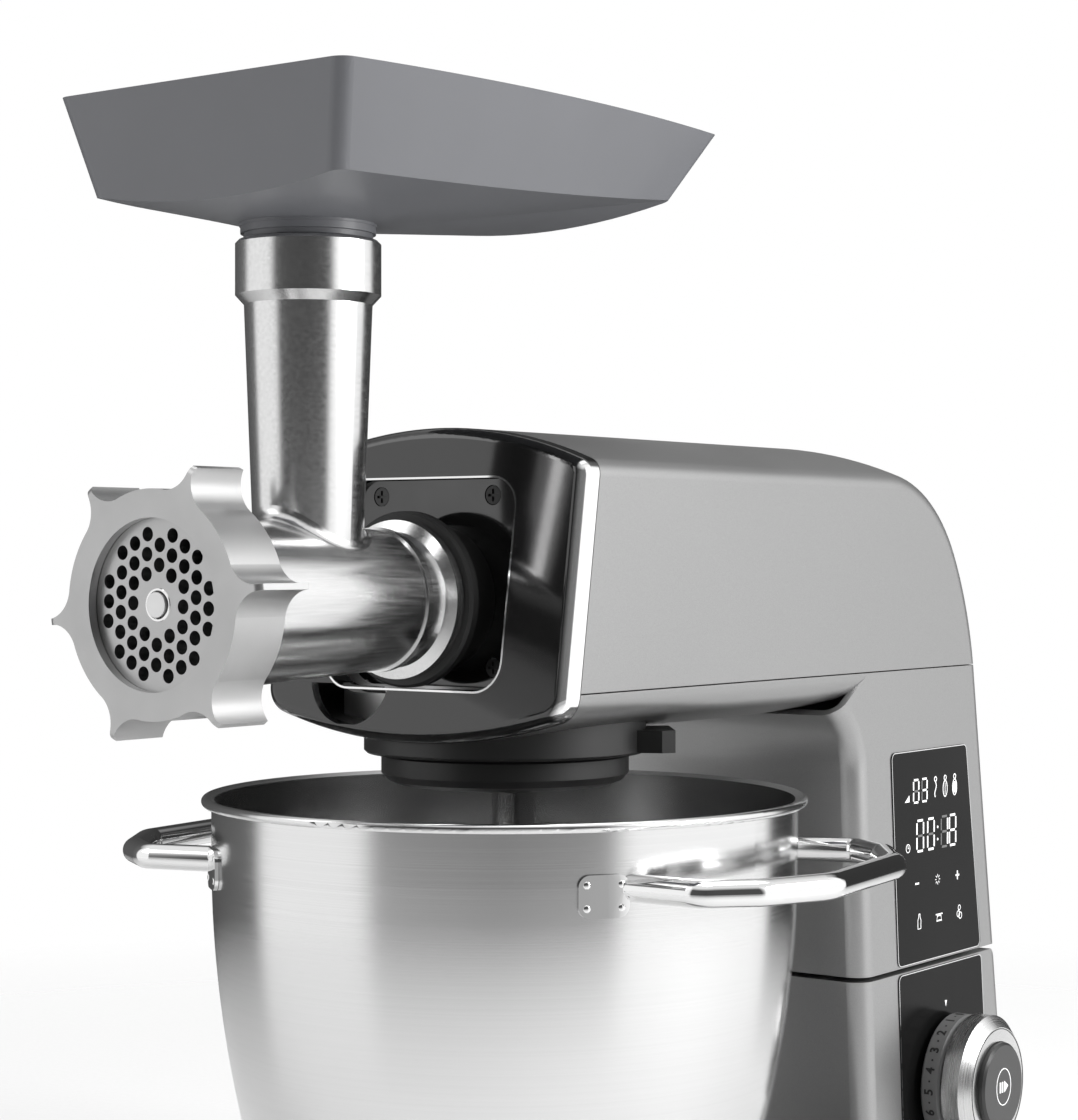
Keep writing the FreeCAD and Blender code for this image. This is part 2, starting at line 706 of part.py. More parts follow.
shell = slice_z(OUTER, "gap_high", "seam_z - seam_gap / 2").cut(
    slice_z(INNER, size("gap_high") + wall, 300)).common(behind_bezel)
shell = shell.cut(rod("splash_rad + 0.4", 40, V(0, 0, 230)))
shell = shell.cut(box(-45, 45, "hinge_y - 14", "hinge_y + ear_rad + 0.6", 130, "hinge_z + 7.6"))
shell = shell.cut(box(-38, -16, LATCH_Y[0] - 2, LATCH_Y[1] + 2, 130, "gap_high + shell_wall + 1"))
shell = shell.cut(glass_outline(*GLASS_UPPER, depth=2.0))
# the keeper plate that the release latch stands beside
shell = shell.fuse(box(-58, -31, LATCH_Y[0], LATCH_Y[1], size("gap_high") + wall, 147.6))
shaped("head_shell", shell)
shaped("control_glass_upper", glass_outline(*GLASS_UPPER, depth=2.4, out=0.4))

board = glass_outline(150.0, 220.0, (186.0, 182.0), (244.0, 234.0), 1.6, -5.0, 0)
for height in (164, 188, 208):
    board = board.fuse(box(60.2, 61.6, 196, 226, height - 5, height + 5))
shaped("display_board", board.removeSplitter())

bezel = OUTER.cut(front_block(size("bezel_depth")))
rim = [edge for edge in bezel.Edges
       if all(abs(V(0, point.y - size("front_y"), point.z - size("front_ref_z")).dot(
           V(0, math.cos(math.radians(size("front_lean"))), -math.sin(math.radians(size("front_lean"))))))
           < 0.01 for point in edge.discretize(5))]
bezel = bezel.makeFillet(4.5, rim)
bezel_hollow = INNER.cut(front_block(size("bezel_depth"))).common(front_block(3.5))
lining = rounded_block(size("recess_half") + 2.5, size("recess_low") - 2.5, size("recess_high") + 2.5,
                       -80, 60, size("recess_corner") + 2.5)
bezel = bezel.cut(bezel_hollow.cut(lining))
recess = rounded_block(size("recess_half"), size("recess_low"), size("recess_high"), -80, 60,
                       size("recess_corner"))
bezel = bezel.cut(recess)
notch = rod(18.5, 40, V(-27.5, -90, 267.5), ALONG_Y).common(box(-60, 60, -100, 0, 249.5, 264))
bezel = bezel.cut(notch.common(OUTER.cut(front_block(6.5))))
bezel = bezel.cut(rod("splash_rad + 0.4", 40, V(0, 0, 230)))
shaped("front_bezel", bezel)

panel_y = size("panel_y")
panel = rounded_block(size("recess_half") - 0.3, size("recess_low") + 0.3, size("recess_high") - 0.3,
                      panel_y, panel_y + 3, size("recess_corner") - 0.3)
panel = panel.cut(hub_rod(24.15, panel_y - 5, panel_y + 10))
PANEL_SCREWS = [(x, z) for x in (-25.5, 25.5) for z in (270.5, 331.5)]
for x, z in PANEL_SCREWS:
    panel = panel.cut(rod(3.6, 1.8, V(x, panel_y, z), ALONG_Y))
    panel = panel.cut(rod(1.8, 6, V(x, panel_y, z), ALONG_Y))
shaped("hub_panel", panel)

screws = []
for x, z in PANEL_SCREWS:
    head = rod(3.3, 1.6, V(x, panel_y + 0.2, z), ALONG_Y)
    head = head.cut(box(x - 0.5, x + 0.5, panel_y, panel_y + 1, z - 2.2, z + 2.2))
    head = head.cut(box(x - 2.2, x + 2.2, panel_y, panel_y + 1, z - 0.5, z + 0.5))
    screws.append(head.fuse(rod(1.75, 9, V(x, panel_y + 1.8, z), ALONG_Y)))
shaped("hub_screws", Part.makeCompound(screws))

turned("hub_collar", "Y", [
    ("-60.4", "24.15"), ("panel_y", "24.15"), ("panel_y", "26.4"), ("-56.4", "26.4"),
    ("-56.4", "31.2"), ("-59.4", "31.2"), ("-60.4", "30.2")], z="hub_z")

# ---------------------------------------------------------------- gear case and drive

case = box(-46, 46, "panel_y + 3", 38, 250, 325)
case = case.cut(box(-40, 40, -27, 31, 258, 326))
case = case.cut(hub_rod(24.15, -50, -35.5)).cut(hub_rod(13, -36, -26)).cut(hub_rod(13, 30, 40))
case = case.cut(rod(16, 12, V(0, 0, 248)))
for x, z in PANEL_SCREWS:
    case = case.cut(rod(1.75, 9, V(x, panel_y + 1.8, z), ALONG_Y))
for sign in (-1, 1):
    x0, x1 = sorted((sign * 40, sign * 46))
    case = case.fuse(box(x0, x1, 38, 176, 258, 266))
    case = case.fuse(box(x0, x1, 38, 176, 306, 314))
shaped("gear_case", case.common(INNER).removeSplitter())

lid = box(-46, 46, "panel_y + 4", 38, 325, 328)
LID_SCREWS = [(x, y) for x in (-42, 42) for y in (-32, 34)]
for x, y in LID_SCREWS:
    lid = lid.cut(rod(2.2, 5, V(x, y, 324)))
shaped("gear_case_lid", lid)
shaped("lid_screws", Part.makeCompound(
    [rod(2.2, 3, V(x, y, 325)).fuse(rod(3.6, 2.4, V(x, y, 328))) for x, y in LID_SCREWS]))


def bearing(inner, outer, wide):
    """Ball bearing standing in for two races and its balls, along +Z from the origin."""
    race = Part.makeCylinder(outer, wide).cut(Part.makeCylinder(inner, wide + 2, V(0, 0, -1)))
    groove = Part.makeTorus((inner + outer) / 2, wide * 0.32, V(0, 0, wide / 2))
    gutter = Part.makeCylinder((inner + outer) / 2 + 1, 1, V(0, 0, wide - 1)).cut(
        Part.makeCylinder((inner + outer) / 2 - 1, 1, V(0, 0, wide - 1)))
    return race.cut(gutter).fuse(groove).removeSplitter()


def laid(shape, y, z="hub_z"):
    """Turn a shape built along +Z to lie along +Y."""
    shape = shape.copy()
    shape.rotate(V(0, 0, 0), ALONG_X, -90)
    shape.translate(V(0, size(y), size(z)))
    return shape


motor_z = size("hub_z") - (size("pinion_teeth + main_teeth")) * size("spur_module") / 2
run = size("run_gap")
shaped("main_bearings", Part.makeCompound([
    laid(bearing(size("main_rad") + run, 13, 7), -35),
    laid(bearing(size("main_rad") + run, 13, 7), 31),
    laid(bearing(size("main_rad") + run, 12, 6), 176)]))
shaped("planetary_bearing", bearing(7 + run, 16, 8).translated(V(0, 0, 250)))

mount = box(-46, 46, 176, 182, 222, 314).cut(hub_rod(12, 175, 183))
mount = mount.cut(rod(10, 10, V(0, 175, motor_z), ALONG_Y))
shaped("motor_mount", mount)

stator = rounded_block(38, motor_z - 36, motor_z + 25, 186, 230, 12)
stator = stator.cut(rod(23, 60, V(0, 180, motor_z), ALONG_Y))
for sign in (-1, 1):
    coil = box(sign * 30 - 6, sign * 30 + 6, 182, 234, motor_z - 16, motor_z + 16)
    stator = stator.fuse(coil.cut(rod(23.2, 60, V(0, 180, motor_z), ALONG_Y)))
shaped("motor_stator", stator.removeSplitter())

armature = rod(22, 40, V(0, 188, motor_z), ALONG_Y)
for angle in ring_of(12):
    x, z = around(22, angle)
    slot = box(-1.2, 1.2, 186, 230, -5, 3)
    slot.rotate(V(0, 0, 0), ALONG_Y, 90 - angle)
    slot.translate(V(x, 0, motor_z + z))
    armature = armature.cut(slot)
armature = armature.fuse(rod(16, 3, V(0, 185, motor_z), ALONG_Y)).fuse(
    rod(16, 3, V(0, 228, motor_z), ALONG_Y)).fuse(rod(9, 3, V(0, 231, motor_z), ALONG_Y))
armature = armature.cut(rod(4, 80, V(0, 170, motor_z), ALONG_Y))
shaped("armature", armature)
turned("motor_shaft", "Y", [("156", "0"), ("156", "4"), ("243.5", "4"), ("243.5", "0")],
       z="hub_z - (pinion_teeth + main_teeth) * spur_module / 2")
shaped("motor_pinion", laid(spur_gear(int(size("pinion_teeth")), size("spur_module"), 12, 4, 15.0), 158, motor_z))
fan = rod(9, 6, V(0, 236, motor_z), ALONG_Y)
for angle in ring_of(9):
    blade = box(-0.8, 0.8, 236, 242, 8, 26)
    blade.rotate(V(0, 239, 0), UP, 24)
    blade.rotate(V(0, 0, 0), ALONG_Y, angle)
    blade.translate(V(0, 0, motor_z))
    fan = fan.fuse(blade)
shaped("cooling_fan", fan.cut(rod(4, 12, V(0, 234, motor_z), ALONG_Y)).removeSplitter())

turned("main_shaft", "Y", [("-38", "0"), ("-38", "main_rad"), ("183", "main_rad"), ("183", "0")],
       z="hub_z")
gear = spur_gear(int(size("main_teeth")), size("spur_module"), 12, size("main_rad"))
for angle in ring_of(6):
    x, y = around(17, angle)
    gear = gear.cut(Part.makeCylinder(5, 14, V(x, y, -1)))
shaped("main_gear", laid(gear, 158))

pinion_rad = size("bevel_pinion_teeth * bevel_module / 2")
wheel_rad = size("bevel_gear_teeth * bevel_module / 2")
face_wide = size("bevel_face")
bevel = bevel_gear(int(size("bevel_pinion_teeth")), size("bevel_module"), wheel_rad, face_wide,
                   size("main_rad"), 9.5, 4, 15.0)
bevel.rotate(V(0, 0, 0), ALONG_X, 90)
bevel.translate(V(0, wheel_rad, size("hub_z")))
shaped("bevel_pinion", bevel)
wheel = bevel_gear(int(size("bevel_gear_teeth")), size("bevel_module"), pinion_rad, face_wide, 7, 13, 12)
wheel.translate(V(0, 0, size("hub_z") - pinion_rad))
shaped("bevel_gear", wheel)
turned("planetary_shaft", "Z", [("0", "228"), ("7", "228"), ("7", "285.5"), ("0", "285.5")])

socket = hub_rod(13.5, -50, -36).cut(hub_rod("main_rad", -38, -30))
socket = socket.cut(box(-5.2, 5.2, -51, -38, "hub_z - 5.2", "hub_z + 5.2"))
shaped("drive_socket", socket)

# ---------------------------------------------------------------- planetary drive

splash = turned("splash_ring", "Z", [
    ("42", "237.5"), ("splash_rad - 1", "237.5"), ("splash_rad", "238.5"), ("splash_rad", "250"),
    ("17", "250"), ("17", "247.2"), ("42", "247.2")])
doc.recompute()
padded(splash, "XY", lambda sk: draw_outline(sk, [
    around(46, 12), around(61.5, 15), (62.2, 20.5), around(61.5, 42), around(46, 45)]), "8.2", lift="238.3")

ring_count = int(size("ring_teeth"))
ring_teeth = gear_wire(ring_count, size("planet_module"), FULL_TURN / ring_count / 2, inside=True)
ring = Part.makeCylinder(42, 9).cut(Part.Face(polygon_wire(ring_teeth)).extrude(V(0, 0, 20)).translated(
    V(0, 0, -5)))
shaped("ring_gear", ring.translated(V(0, 0, 238.2)))

ox, oy = around(size("orbit_rad"), size("orbit_angle"))
carrier = turned("planetary_carrier", "Z", [
    ("7", "226"), ("40", "226"), ("carrier_rad - 2.5", "227.4"), ("carrier_rad", "230"),
    ("carrier_rad", "236.2"), ("carrier_rad - 0.8", "237"), ("9.5", "237"), ("9.5", "249.6"),
    ("7", "249.6")])
doc.recompute()
pocketed(carrier, "XY", lambda sk: draw_circle(
    sk, "orbit_rad * cos(orbit_angle * 1 deg)", "orbit_rad * sin(orbit_angle * 1 deg)",
    "6.5 + run_gap"), "40", lift="220", reverse=True)

planet = spur_gear(int(size("planet_teeth")), size("planet_module"), 7.5, 6.5)
shaped("planet_gear", planet.translated(V(ox, oy, 238.8)))
spindle = new_body("tool_spindle", x="orbit_rad * cos(orbit_angle * 1 deg)",
                   y="orbit_rad * sin(orbit_angle * 1 deg)")
sketch = new_sketch(spindle, "XZ")
draw_outline(sketch, [("0", "176"), ("7", "176"), ("8", "177"), ("8", "225"), ("6.5", "225.6"),
                      ("6.5", "246.6"), ("0", "246.6")])
doc.recompute()
turn = spindle.newObject("PartDesign::Revolution", "spindle_turn")
turn.Profile = sketch
turn.ReferenceAxis = (sketch, ["V_Axis"])
turn.Angle = FULL_TURN
spindle.Tip = turn
doc.recompute()
pocketed(spindle, "XZ", lambda sk: draw_circle(sk, "0", "190", "2"), "40", both=True)
shaped("spindle_pin", rod(2, 25, V(ox, oy - 12.5, 190), ALONG_Y))

# ---------------------------------------------------------------- bowl

def bowl_profile(inset):
    """Bowl wall as (radius, height) points from the middle of the bottom to the rim."""
    lower_rad = 73.0
    lean = math.radians(13)
    join = (97.3, 103.0)
    centre = (join[0] - lower_rad * math.cos(lean), join[1] + lower_rad * math.sin(lean))
    radius = lower_rad - inset
    mid = math.radians(-52)
    # the wall goes on in one long arc that ends upright
    side_rad = (size("bowl_rad") - join[0]) / (1 - math.cos(lean)) - inset
    side_centre = (size("bowl_rad") - inset - side_rad, join[1] + (side_rad + inset) * math.sin(lean))
    return {
        "centre": V(0, 0, centre[1] - radius),
        "floor": V(centre[0], 0, centre[1] - radius),
        "curve": V(centre[0] + radius * math.cos(mid), 0, centre[1] + radius * math.sin(mid)),
        "join": V(centre[0] + radius * math.cos(lean), 0, centre[1] - radius * math.sin(lean)),
        "side": V(side_centre[0] + side_rad * math.cos(lean / 2), 0,
                  side_centre[1] - side_rad * math.sin(lean / 2)),
        "shoulder": V(size("bowl_rad") - inset, 0, side_centre[1]),
        "rim": V(size("bowl_rad") - inset, 0, size("bowl_rim_z") - 3.2),
    }


def bowl_edges(p):
    return [Part.makeLine(p["centre"], p["floor"]),
            Part.Arc(p["floor"], p["curve"], p["join"]).toShape(),
            Part.Arc(p["join"], p["side"], p["shoulder"]).toShape(),
            Part.makeLine(p["shoulder"], p["rim"])]


outside, inside = bowl_profile(0.0), bowl_profile(size("bowl_wall"))
lip_out = V(112.1, 0, size("bowl_rim_z") - 1.6)
lip_top = V(110.4, 0, size("bowl_rim_z"))
lip_in = V(inside["rim"].x, 0, size("bowl_rim_z") - 1.2)
lip_under = V(111.3, 0, size("bowl_rim_z") - 3.2)
edges = bowl_edges(outside) + [
    Part.makeLine(outside["rim"], lip_under),
    Part.Arc(lip_under, lip_out, lip_top).toShape(),
    Part.makeLine(lip_top, lip_in),
    Part.makeLine(lip_in, inside["rim"])] + bowl_edges(inside)[::-1] + [
    Part.makeLine(inside["centre"], outside["centre"])]
wall_face = Part.Face(Part.Wire(Part.__sortEdges__(edges)))
shaped("mixing_bowl", wall_face.revolve(V(0, 0, 0), UP, FULL_TURN))

bowl_solid_edges = bowl_edges(outside) + [
    Part.makeLine(outside["rim"], V(0, 0, outside["rim"].z)),
    Part.makeLine(V(0, 0, outside["rim"].z), outside["centre"])]
BOWL_BLANK = Part.Face(Part.Wire(Part.__sortEdges__(bowl_solid_edges))).revolve(
    V(0, 0, 0), UP, FULL_TURN)
foot = rod("foot_ring_rad", 22, V(0, 0, 38)).cut(rod("foot_ring_rad - 2", 24, V(0, 0, 37)))
foot = foot.cut(BOWL_BLANK)
for angle in ring_of(3, 90):
    tab = box("foot_ring_rad - 1", "foot_ring_rad + 2.6", -8, 8, 38, 40.6)
    tab.rotate(V(0, 0, 0), UP, angle)
    foot = foot.fuse(tab)
shaped("bowl_foot", foot.removeSplitter())


def handle_path():
    """Centre line of one bar: out from the bowl, along the grip and back, with round corners."""
    half = [(84.0, 66.0), (112.0, 70.0), (127.5, 57.0), (141.3, 31.0)]
    points = [V(x, -y, 0) for x, y in half] + [V(x, y, 0) for x, y in reversed(half)]
    bends = (7.0, 9.0, 14.0)
    bends = bends + bends[::-1]
    edges = []
    start = points[0]
    for index, bend in zip(range(1, 7), bends):
        corner = points[index]
        before = (points[index - 1] - corner).normalize()
        after = (points[index + 1] - corner).normalize()
        half_angle = before.getAngle(after) / 2
        reach = bend / math.tan(half_angle)
        inner = corner + (before + after).normalize() * (bend / math.sin(half_angle) - bend)
        edges.append(Part.makeLine(start, corner + before * reach))
        edges.append(Part.Arc(corner + before * reach, inner, corner + after * reach).toShape())
        start = corner + after * reach
    edges.append(Part.makeLine(start, points[-1]))
    return Part.Wire(edges), points


handles = []
for side in (0, 180):
    path, corners = handle_path()
    heading = (corners[1] - corners[0]).normalize()
    end_circle = Part.Wire(Part.makeCircle(size("bar_rad"), corners[0], heading))
    bar = path.makePipeShell([end_circle], True, False)
    bar.rotate(V(0, 0, 0), UP, size("handle_swing") + side)
    bar.translate(V(0, 0, size("handle_z")))
    bar = bar.cut(Part.makeCylinder(size("bowl_rad") + 0.2, 60, V(0, 0, 170)))
    skin = Part.makeCylinder(size("bowl_rad") + 1.4, 20, V(0, 0, 188)).cut(
        Part.makeCylinder(size("bowl_rad"), 20, V(0, 0, 188)))
    for hand in (-1, 1):
        weld_plate = rounded_block(9.0, 190, 204.5, 90, 125, 4.0)
        weld_plate.rotate(V(0, 0, 0), UP, -90 + hand * 43.5 + size("handle_swing") + side)
        bar = bar.fuse(weld_plate.common(skin))
    handles.append(bar)
shaped("bowl_handles", Part.makeCompound(handles))

# ---------------------------------------------------------------- hinge arms

arms = []
for sign in (-1, 1):
    x0, x1 = sorted((sign * 23, sign * 30))
    y, z = size("hinge_y"), size("hinge_z")
    ear = size("ear_rad")
    arm = side_slab([(y + ear, z), (y + ear, 158), (y - 8, 200), (y - 24, 200), (y - 24, 160),
                     (y - ear, 148), (y - ear, z)], 200)
    arm = arm.fuse(rod("ear_rad", 400, V(-200, y, z), ALONG_X))
    arms.append(arm.common(box(x0, x1, 200, 300, 100, 220)))
arms.append(box(-65, 58, "hinge_y - 24", "hinge_y - 19", 160, 200))
hinge_arms = fused(arms).common(INNER).cut(
    rod("pin_rad + run_gap", 200, V(-100, size("hinge_y"), size("hinge_z")), ALONG_X))
shaped("hinge_arms", hinge_arms)

# ---------------------------------------------------------------- grinder

housing = new_body("grinder_housing", y="feed_y", z="hub_z")


def spun(body, plane, axis, points, cut=False):
    """Turned feature added to a body, or cut from it."""
    sketch = new_sketch(body, plane)
    draw_outline(sketch, points)
    doc.recompute()
    before = body.Shape.Volume if cut else 0.0
    kind = "PartDesign::Groove" if cut else "PartDesign::Revolution"
    turn = body.newObject(kind, f"{body.Label}_turn")
    turn.Profile = sketch
    turn.ReferenceAxis = (sketch, [axis])
    turn.Angle = FULL_TURN
    body.Tip = turn
    doc.recompute()
    if cut and not body.Shape.Volume < before - 0.01:
        raise RuntimeError(f"{body.Label}: a groove cut nothing")


def from_feed(points):
    """Outline along the barrel with its y counted from the feed tube's axis."""
    return [(f"{point[0]} - feed_y",) + tuple(point[1:]) for point in points]


def above_hub(points):
    """Outline round the feed tube with its height counted from the barrel's axis."""
    return [(point[0], f"{point[1]} - hub_z") + tuple(point[2:]) for point in points]


spun(housing, "YZ", "H_Axis", from_feed([
    ("-180.6", "0"), ("-180.6", "33.5"), ("-164", "33.5"), ("-160.5", "28.2"), ("-76.5", "24.5"),
    ("-76.5", "25.2"), ("-73.8", "25.2"), ("-73", "23.6"),
    ("-66", "24"), ("-64.4", "28"), ("-60.6", "28"), ("-60.6", "24.05"), ("-42", "24.05"),
    ("-42", "0")]))
spun(housing, "XZ", "V_Axis", above_hub([
    ("0", "294.7"), ("17.8", "294.7"), ("21.6", "394.4"), ("24.56", "397.6"), ("24.56", "414.8"),
    ("23.4", "416"), ("0", "416")]))
seam = [number for number, edge in enumerate(housing.Shape.Edges, start=1)
        if edge.Curve.TypeId == "Part::GeomBSplineCurve"]
joined = housing.Tip
blend = housing.newObject("PartDesign::Fillet", "tube_blend")
blend.Base = (joined, [f"Edge{number}" for number in seam])
blend.Radius = 5.0
housing.Tip = blend
doc.recompute()
spun(housing, "YZ", "H_Axis", from_feed([
    ("-42", "0"), ("-42", "15"), ("-53", "15"), ("-53", "10 + run_gap"), ("-68", "10 + run_gap"),
    ("-68", "21"), ("-70", "21.4"), ("-165", "25.2"), ("-174.6", "25.2"), ("-174.6", "31.3"),
    ("-180.6", "31.3"), ("-180.6", "0")]), cut=True)
spun(housing, "XZ", "V_Axis", above_hub([
    ("0", "294.7"), ("tube_bore_rad", "294.7"), ("tube_bore_rad", "379"), ("20.5", "381"),
    ("20.5", "416"), ("0", "416")]), cut=True)

turns = Part.makeHelix(27, 104, 20)
turns.translate(V(0, 0, -4))
flight = Part.Wire(turns.Edges).makePipeShell([polygon_wire([
    V(8, 0, -8.5), V(26, 0, -5.7), V(26, 0, -2.3), V(8, 0, 0.5)])], True, True)
long = 96.0
envelope = Part.makeCone(24.7, 21.0, long)
core = Part.makeCone(14.5, 11.0, long)
auger = flight.common(envelope).fuse(core)
auger = auger.fuse(box(-4.9, 4.9, -4.9, 4.9, -8.3, 0.5))
auger = auger.fuse(Part.makeCylinder(4.0, 16, V(0, 0, -16)))
auger = auger.cut(box(-5, 5, -5, 5, long - 9, long + 1))
shaped("auger_screw", laid(auger, -166.2))

tail = box(-4.8, 4.8, -4.8, 4.8, 0, 9.4)
tail = tail.fuse(Part.makeCylinder(10, 15, V(0, 0, 9.4))).fuse(box(-4.95, 4.95, -4.95, 4.95, 24.4, 39.2))
shaped("auger_coupling", laid(tail, -79.2))

knife = Part.makeCylinder(9.5, 6.6)
for angle in ring_of(4):
    blade = Part.Face(polygon_wire([V(4, -5.2, 0), V(23.9, -6.6, 0), V(23.9, 1.2, 0), V(4, 5.2, 0)])).extrude(
        V(0, 0, 4.6))
    bevelled = blade.common(Part.Face(polygon_wire([V(0, -8, 0), V(0, 6, 0), V(0, 6, 1.6), V(0, -8, 6.6)])).extrude(
        V(30, 0, 0)))
    bevelled.rotate(V(0, 0, 0), UP, angle)
    knife = knife.fuse(bevelled)
knife = knife.cut(box(-5.0, 5.0, -5.0, 5.0, -1, 8))
shaped("cutting_knife", laid(knife.removeSplitter(), -174.4))

disc = new_body("grinding_plate", y="plate_face_y", z="hub_z")


def plate_outline(sketch):
    """Disc with a round pin hole and a hexagonal field of holes between two radii."""
    draw_circle(sketch, "0", "0", "plate_rad")
    draw_circle(sketch, "0", "0", "4.35")
    pitch = size("plate_pitch")
    lean = math.radians(-2.4)
    for column in range(-4, 5):
        for half_row in range(-8, 9):
            if (half_row + column) % 2:
                continue
            across = column * pitch * math.cos(math.pi / 6)
            up = half_row / 2 * pitch
            if not 10.0 < math.hypot(across, up) < 24.0:
                continue
            draw_circle(sketch, f"{across * math.cos(lean) - up * math.sin(lean):.4f}",
                        f"{across * math.sin(lean) + up * math.cos(lean):.4f}", "plate_hole_rad")


padded(disc, "XZ", plate_outline, "plate_deep", reverse=True)

nut = new_body("ring_nut", y="nut_front_y", z="hub_z")


def nut_outline(sketch):
    """Ring with six narrow wings that grow out of it through hollow flanks."""
    points = []
    for angle in ring_of(6, 7.5):
        root, tip = size("nut_rad"), size("nut_tip_rad")
        tip_turn = math.degrees(1.0 / tip)
        points.append(around(root, angle - 13) + ("-10.5",))
        points.append(around(tip, angle - tip_turn))
        points.append(around(tip, angle + tip_turn) + ("-10.5",))
        points.append(around(root, angle + 13) + ("nut_rad",))
    draw_outline(sketch, points)


padded(nut, "XZ", nut_outline, "nut_depth", reverse=True)
spun(nut, "YZ", "H_Axis", [("-1", "0"), ("-1", "nut_mouth_rad"), ("3.25", "nut_mouth_rad"),
                           ("3.25", "33.9"), ("nut_depth + 1", "33.9"), ("nut_depth + 1", "0")], cut=True)
spun(nut, "YZ", "H_Axis", [("-1", "nut_tip_rad - 3"), ("0", "nut_tip_rad - 3", "-3.2"),
                           ("3", "nut_tip_rad + 0.3"), ("3", "50"), ("-1", "50")], cut=True)
spun(nut, "YZ", "H_Axis", [("nut_depth - 2.2", "nut_tip_rad + 0.3", "-4"), ("nut_depth + 1", "40"),
                           ("nut_depth + 1", "50"), ("nut_depth - 2.2", "50")], cut=True)

# ---------------------------------------------------------------- feed tray

def quad_wire(front, side, back):
    """Four-sided outline, mirrored about X = 0; each side is an arc or a line through a middle point."""
    def run(start, middle, stop):
        straight = (stop - start).cross(middle - start).Length < 1.0
        return Part.makeLine(start, stop) if straight else Part.Arc(start, middle, stop).toShape()

    front_corner, front_mid = front
    back_corner, back_mid = back
    return Part.Wire([
        run(flip(front_corner), front_mid, front_corner),
        run(front_corner, side, back_corner),
        run(back_corner, back_mid, flip(back_corner)),
        run(flip(back_corner), flip(side), flip(front_corner))])


def tray_solid(inset, top):
    """Dish of the tray as a filled solid; inset draws it in for the inside."""
    feed = size("feed_y")
    rise = inset
    rim = quad_wire((V(62.5 - inset, -165 + inset, top), V(0, -165 + inset, top)),
                    V(77.2 - inset, -65, top), (V(74.2 - inset, 31 - inset, top), V(0, 31 - inset, top)))
    ledge = quad_wire(
        (V(54 - inset, -157.6 + inset, 430 + rise), V(0, -156 + inset, 425.2 + rise)),
        V(66.2 - inset, -75, 431.5 + rise),
        (V(63.5 - inset, 16 - inset, 438.7 + rise), V(0, 14 - inset, 431 + rise)))
    neck_rad = 23.6 - inset
    low = 421.5 + rise
    turns = (-52, 52, 128, 232)
    spots = [V(neck_rad * math.cos(math.radians(a)), feed + neck_rad * math.sin(math.radians(a)), low)
             for a in turns]
    neck = quad_wire((spots[0], V(0, feed - neck_rad, low)), V(neck_rad, feed, low),
                     (spots[1], V(0, feed + neck_rad, low)))
    dish = Part.makeLoft([rim, ledge, neck], True, True)
    if dish.Volume < 0:
        dish.reverse()
    return dish


tray_outer = tray_solid(0.0, size("tray_rim_z"))
corners = [edge for edge in tray_outer.Edges
           if edge.BoundBox.ZLength > 24 and abs(edge.BoundBox.Center.x) > 50]
tray_outer = tray_outer.makeFillet(6.0, corners)
tray_inner = tray_solid(size("tray_wall"), size("tray_rim_z") + 0.01)
neck_at = V(0, size("feed_y"), 0)
rings = [(20.2, 384.0, 417.0), (21.75, 416.4, 418.2), (22.8, 418.2, 421.0), (23.2, 420.6, 425.0)]
tray = tray_outer
for radius, low, high in rings:
    tray = tray.fuse(Part.makeCylinder(radius, high - low, neck_at + V(0, 0, low)))
tray = tray.cut(tray_inner)
tray = tray.cut(rod("neck_bore_rad", 60, neck_at + V(0, 0, 380)))
shaped("feed_tray", tray.removeSplitter())

# ---------------------------------------------------------------- check and write

doc.recompute()
for item in doc.Objects:
    if {"Invalid", "Error"} & set(item.State):
        raise RuntimeError(f"{item.Label} did not build: {item.State}")
os.makedirs("parts", exist_ok=True)
for label, item in parts.items():
    if item.Shape.isNull() or not item.Shape.isValid():
        raise RuntimeError(f"{label} has no valid shape")
for label, item in parts.items():
    item.Shape.exportStep(f"parts/{label}.step")
    bounds = item.Shape.BoundBox
    print(f"{label:22s} solids {len(item.Shape.Solids):2d} volume {item.Shape.Volume / 1000:9.2f} cm3 "
          f"x {bounds.XMin:7.1f} {bounds.XMax:7.1f} y {bounds.YMin:7.1f} {bounds.YMax:7.1f} "
          f"z {bounds.ZMin:6.1f} {bounds.ZMax:6.1f}")
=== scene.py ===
import json
import math

import bpy
from mathutils import Matrix, Vector

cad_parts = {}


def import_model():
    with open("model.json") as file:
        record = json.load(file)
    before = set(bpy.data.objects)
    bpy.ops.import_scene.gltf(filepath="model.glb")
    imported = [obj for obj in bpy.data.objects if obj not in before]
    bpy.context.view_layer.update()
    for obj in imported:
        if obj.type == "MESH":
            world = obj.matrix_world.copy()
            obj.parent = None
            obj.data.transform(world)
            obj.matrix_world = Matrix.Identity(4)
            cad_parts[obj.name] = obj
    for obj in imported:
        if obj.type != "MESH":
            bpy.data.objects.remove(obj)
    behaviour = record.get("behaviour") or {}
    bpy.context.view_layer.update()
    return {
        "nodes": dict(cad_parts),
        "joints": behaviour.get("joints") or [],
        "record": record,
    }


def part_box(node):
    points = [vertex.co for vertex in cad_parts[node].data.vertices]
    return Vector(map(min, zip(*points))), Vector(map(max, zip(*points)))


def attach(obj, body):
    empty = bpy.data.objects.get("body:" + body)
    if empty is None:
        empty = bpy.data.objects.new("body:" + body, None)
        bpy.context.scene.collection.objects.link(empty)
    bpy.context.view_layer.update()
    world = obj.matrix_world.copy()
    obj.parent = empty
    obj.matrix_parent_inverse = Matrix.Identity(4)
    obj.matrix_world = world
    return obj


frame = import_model()

MM = 0.001
NODES = frame["nodes"]
JOINTS = {joint["name"]: joint for joint in frame["joints"]}


# ---------------------------------------------------------------- node-tree helpers

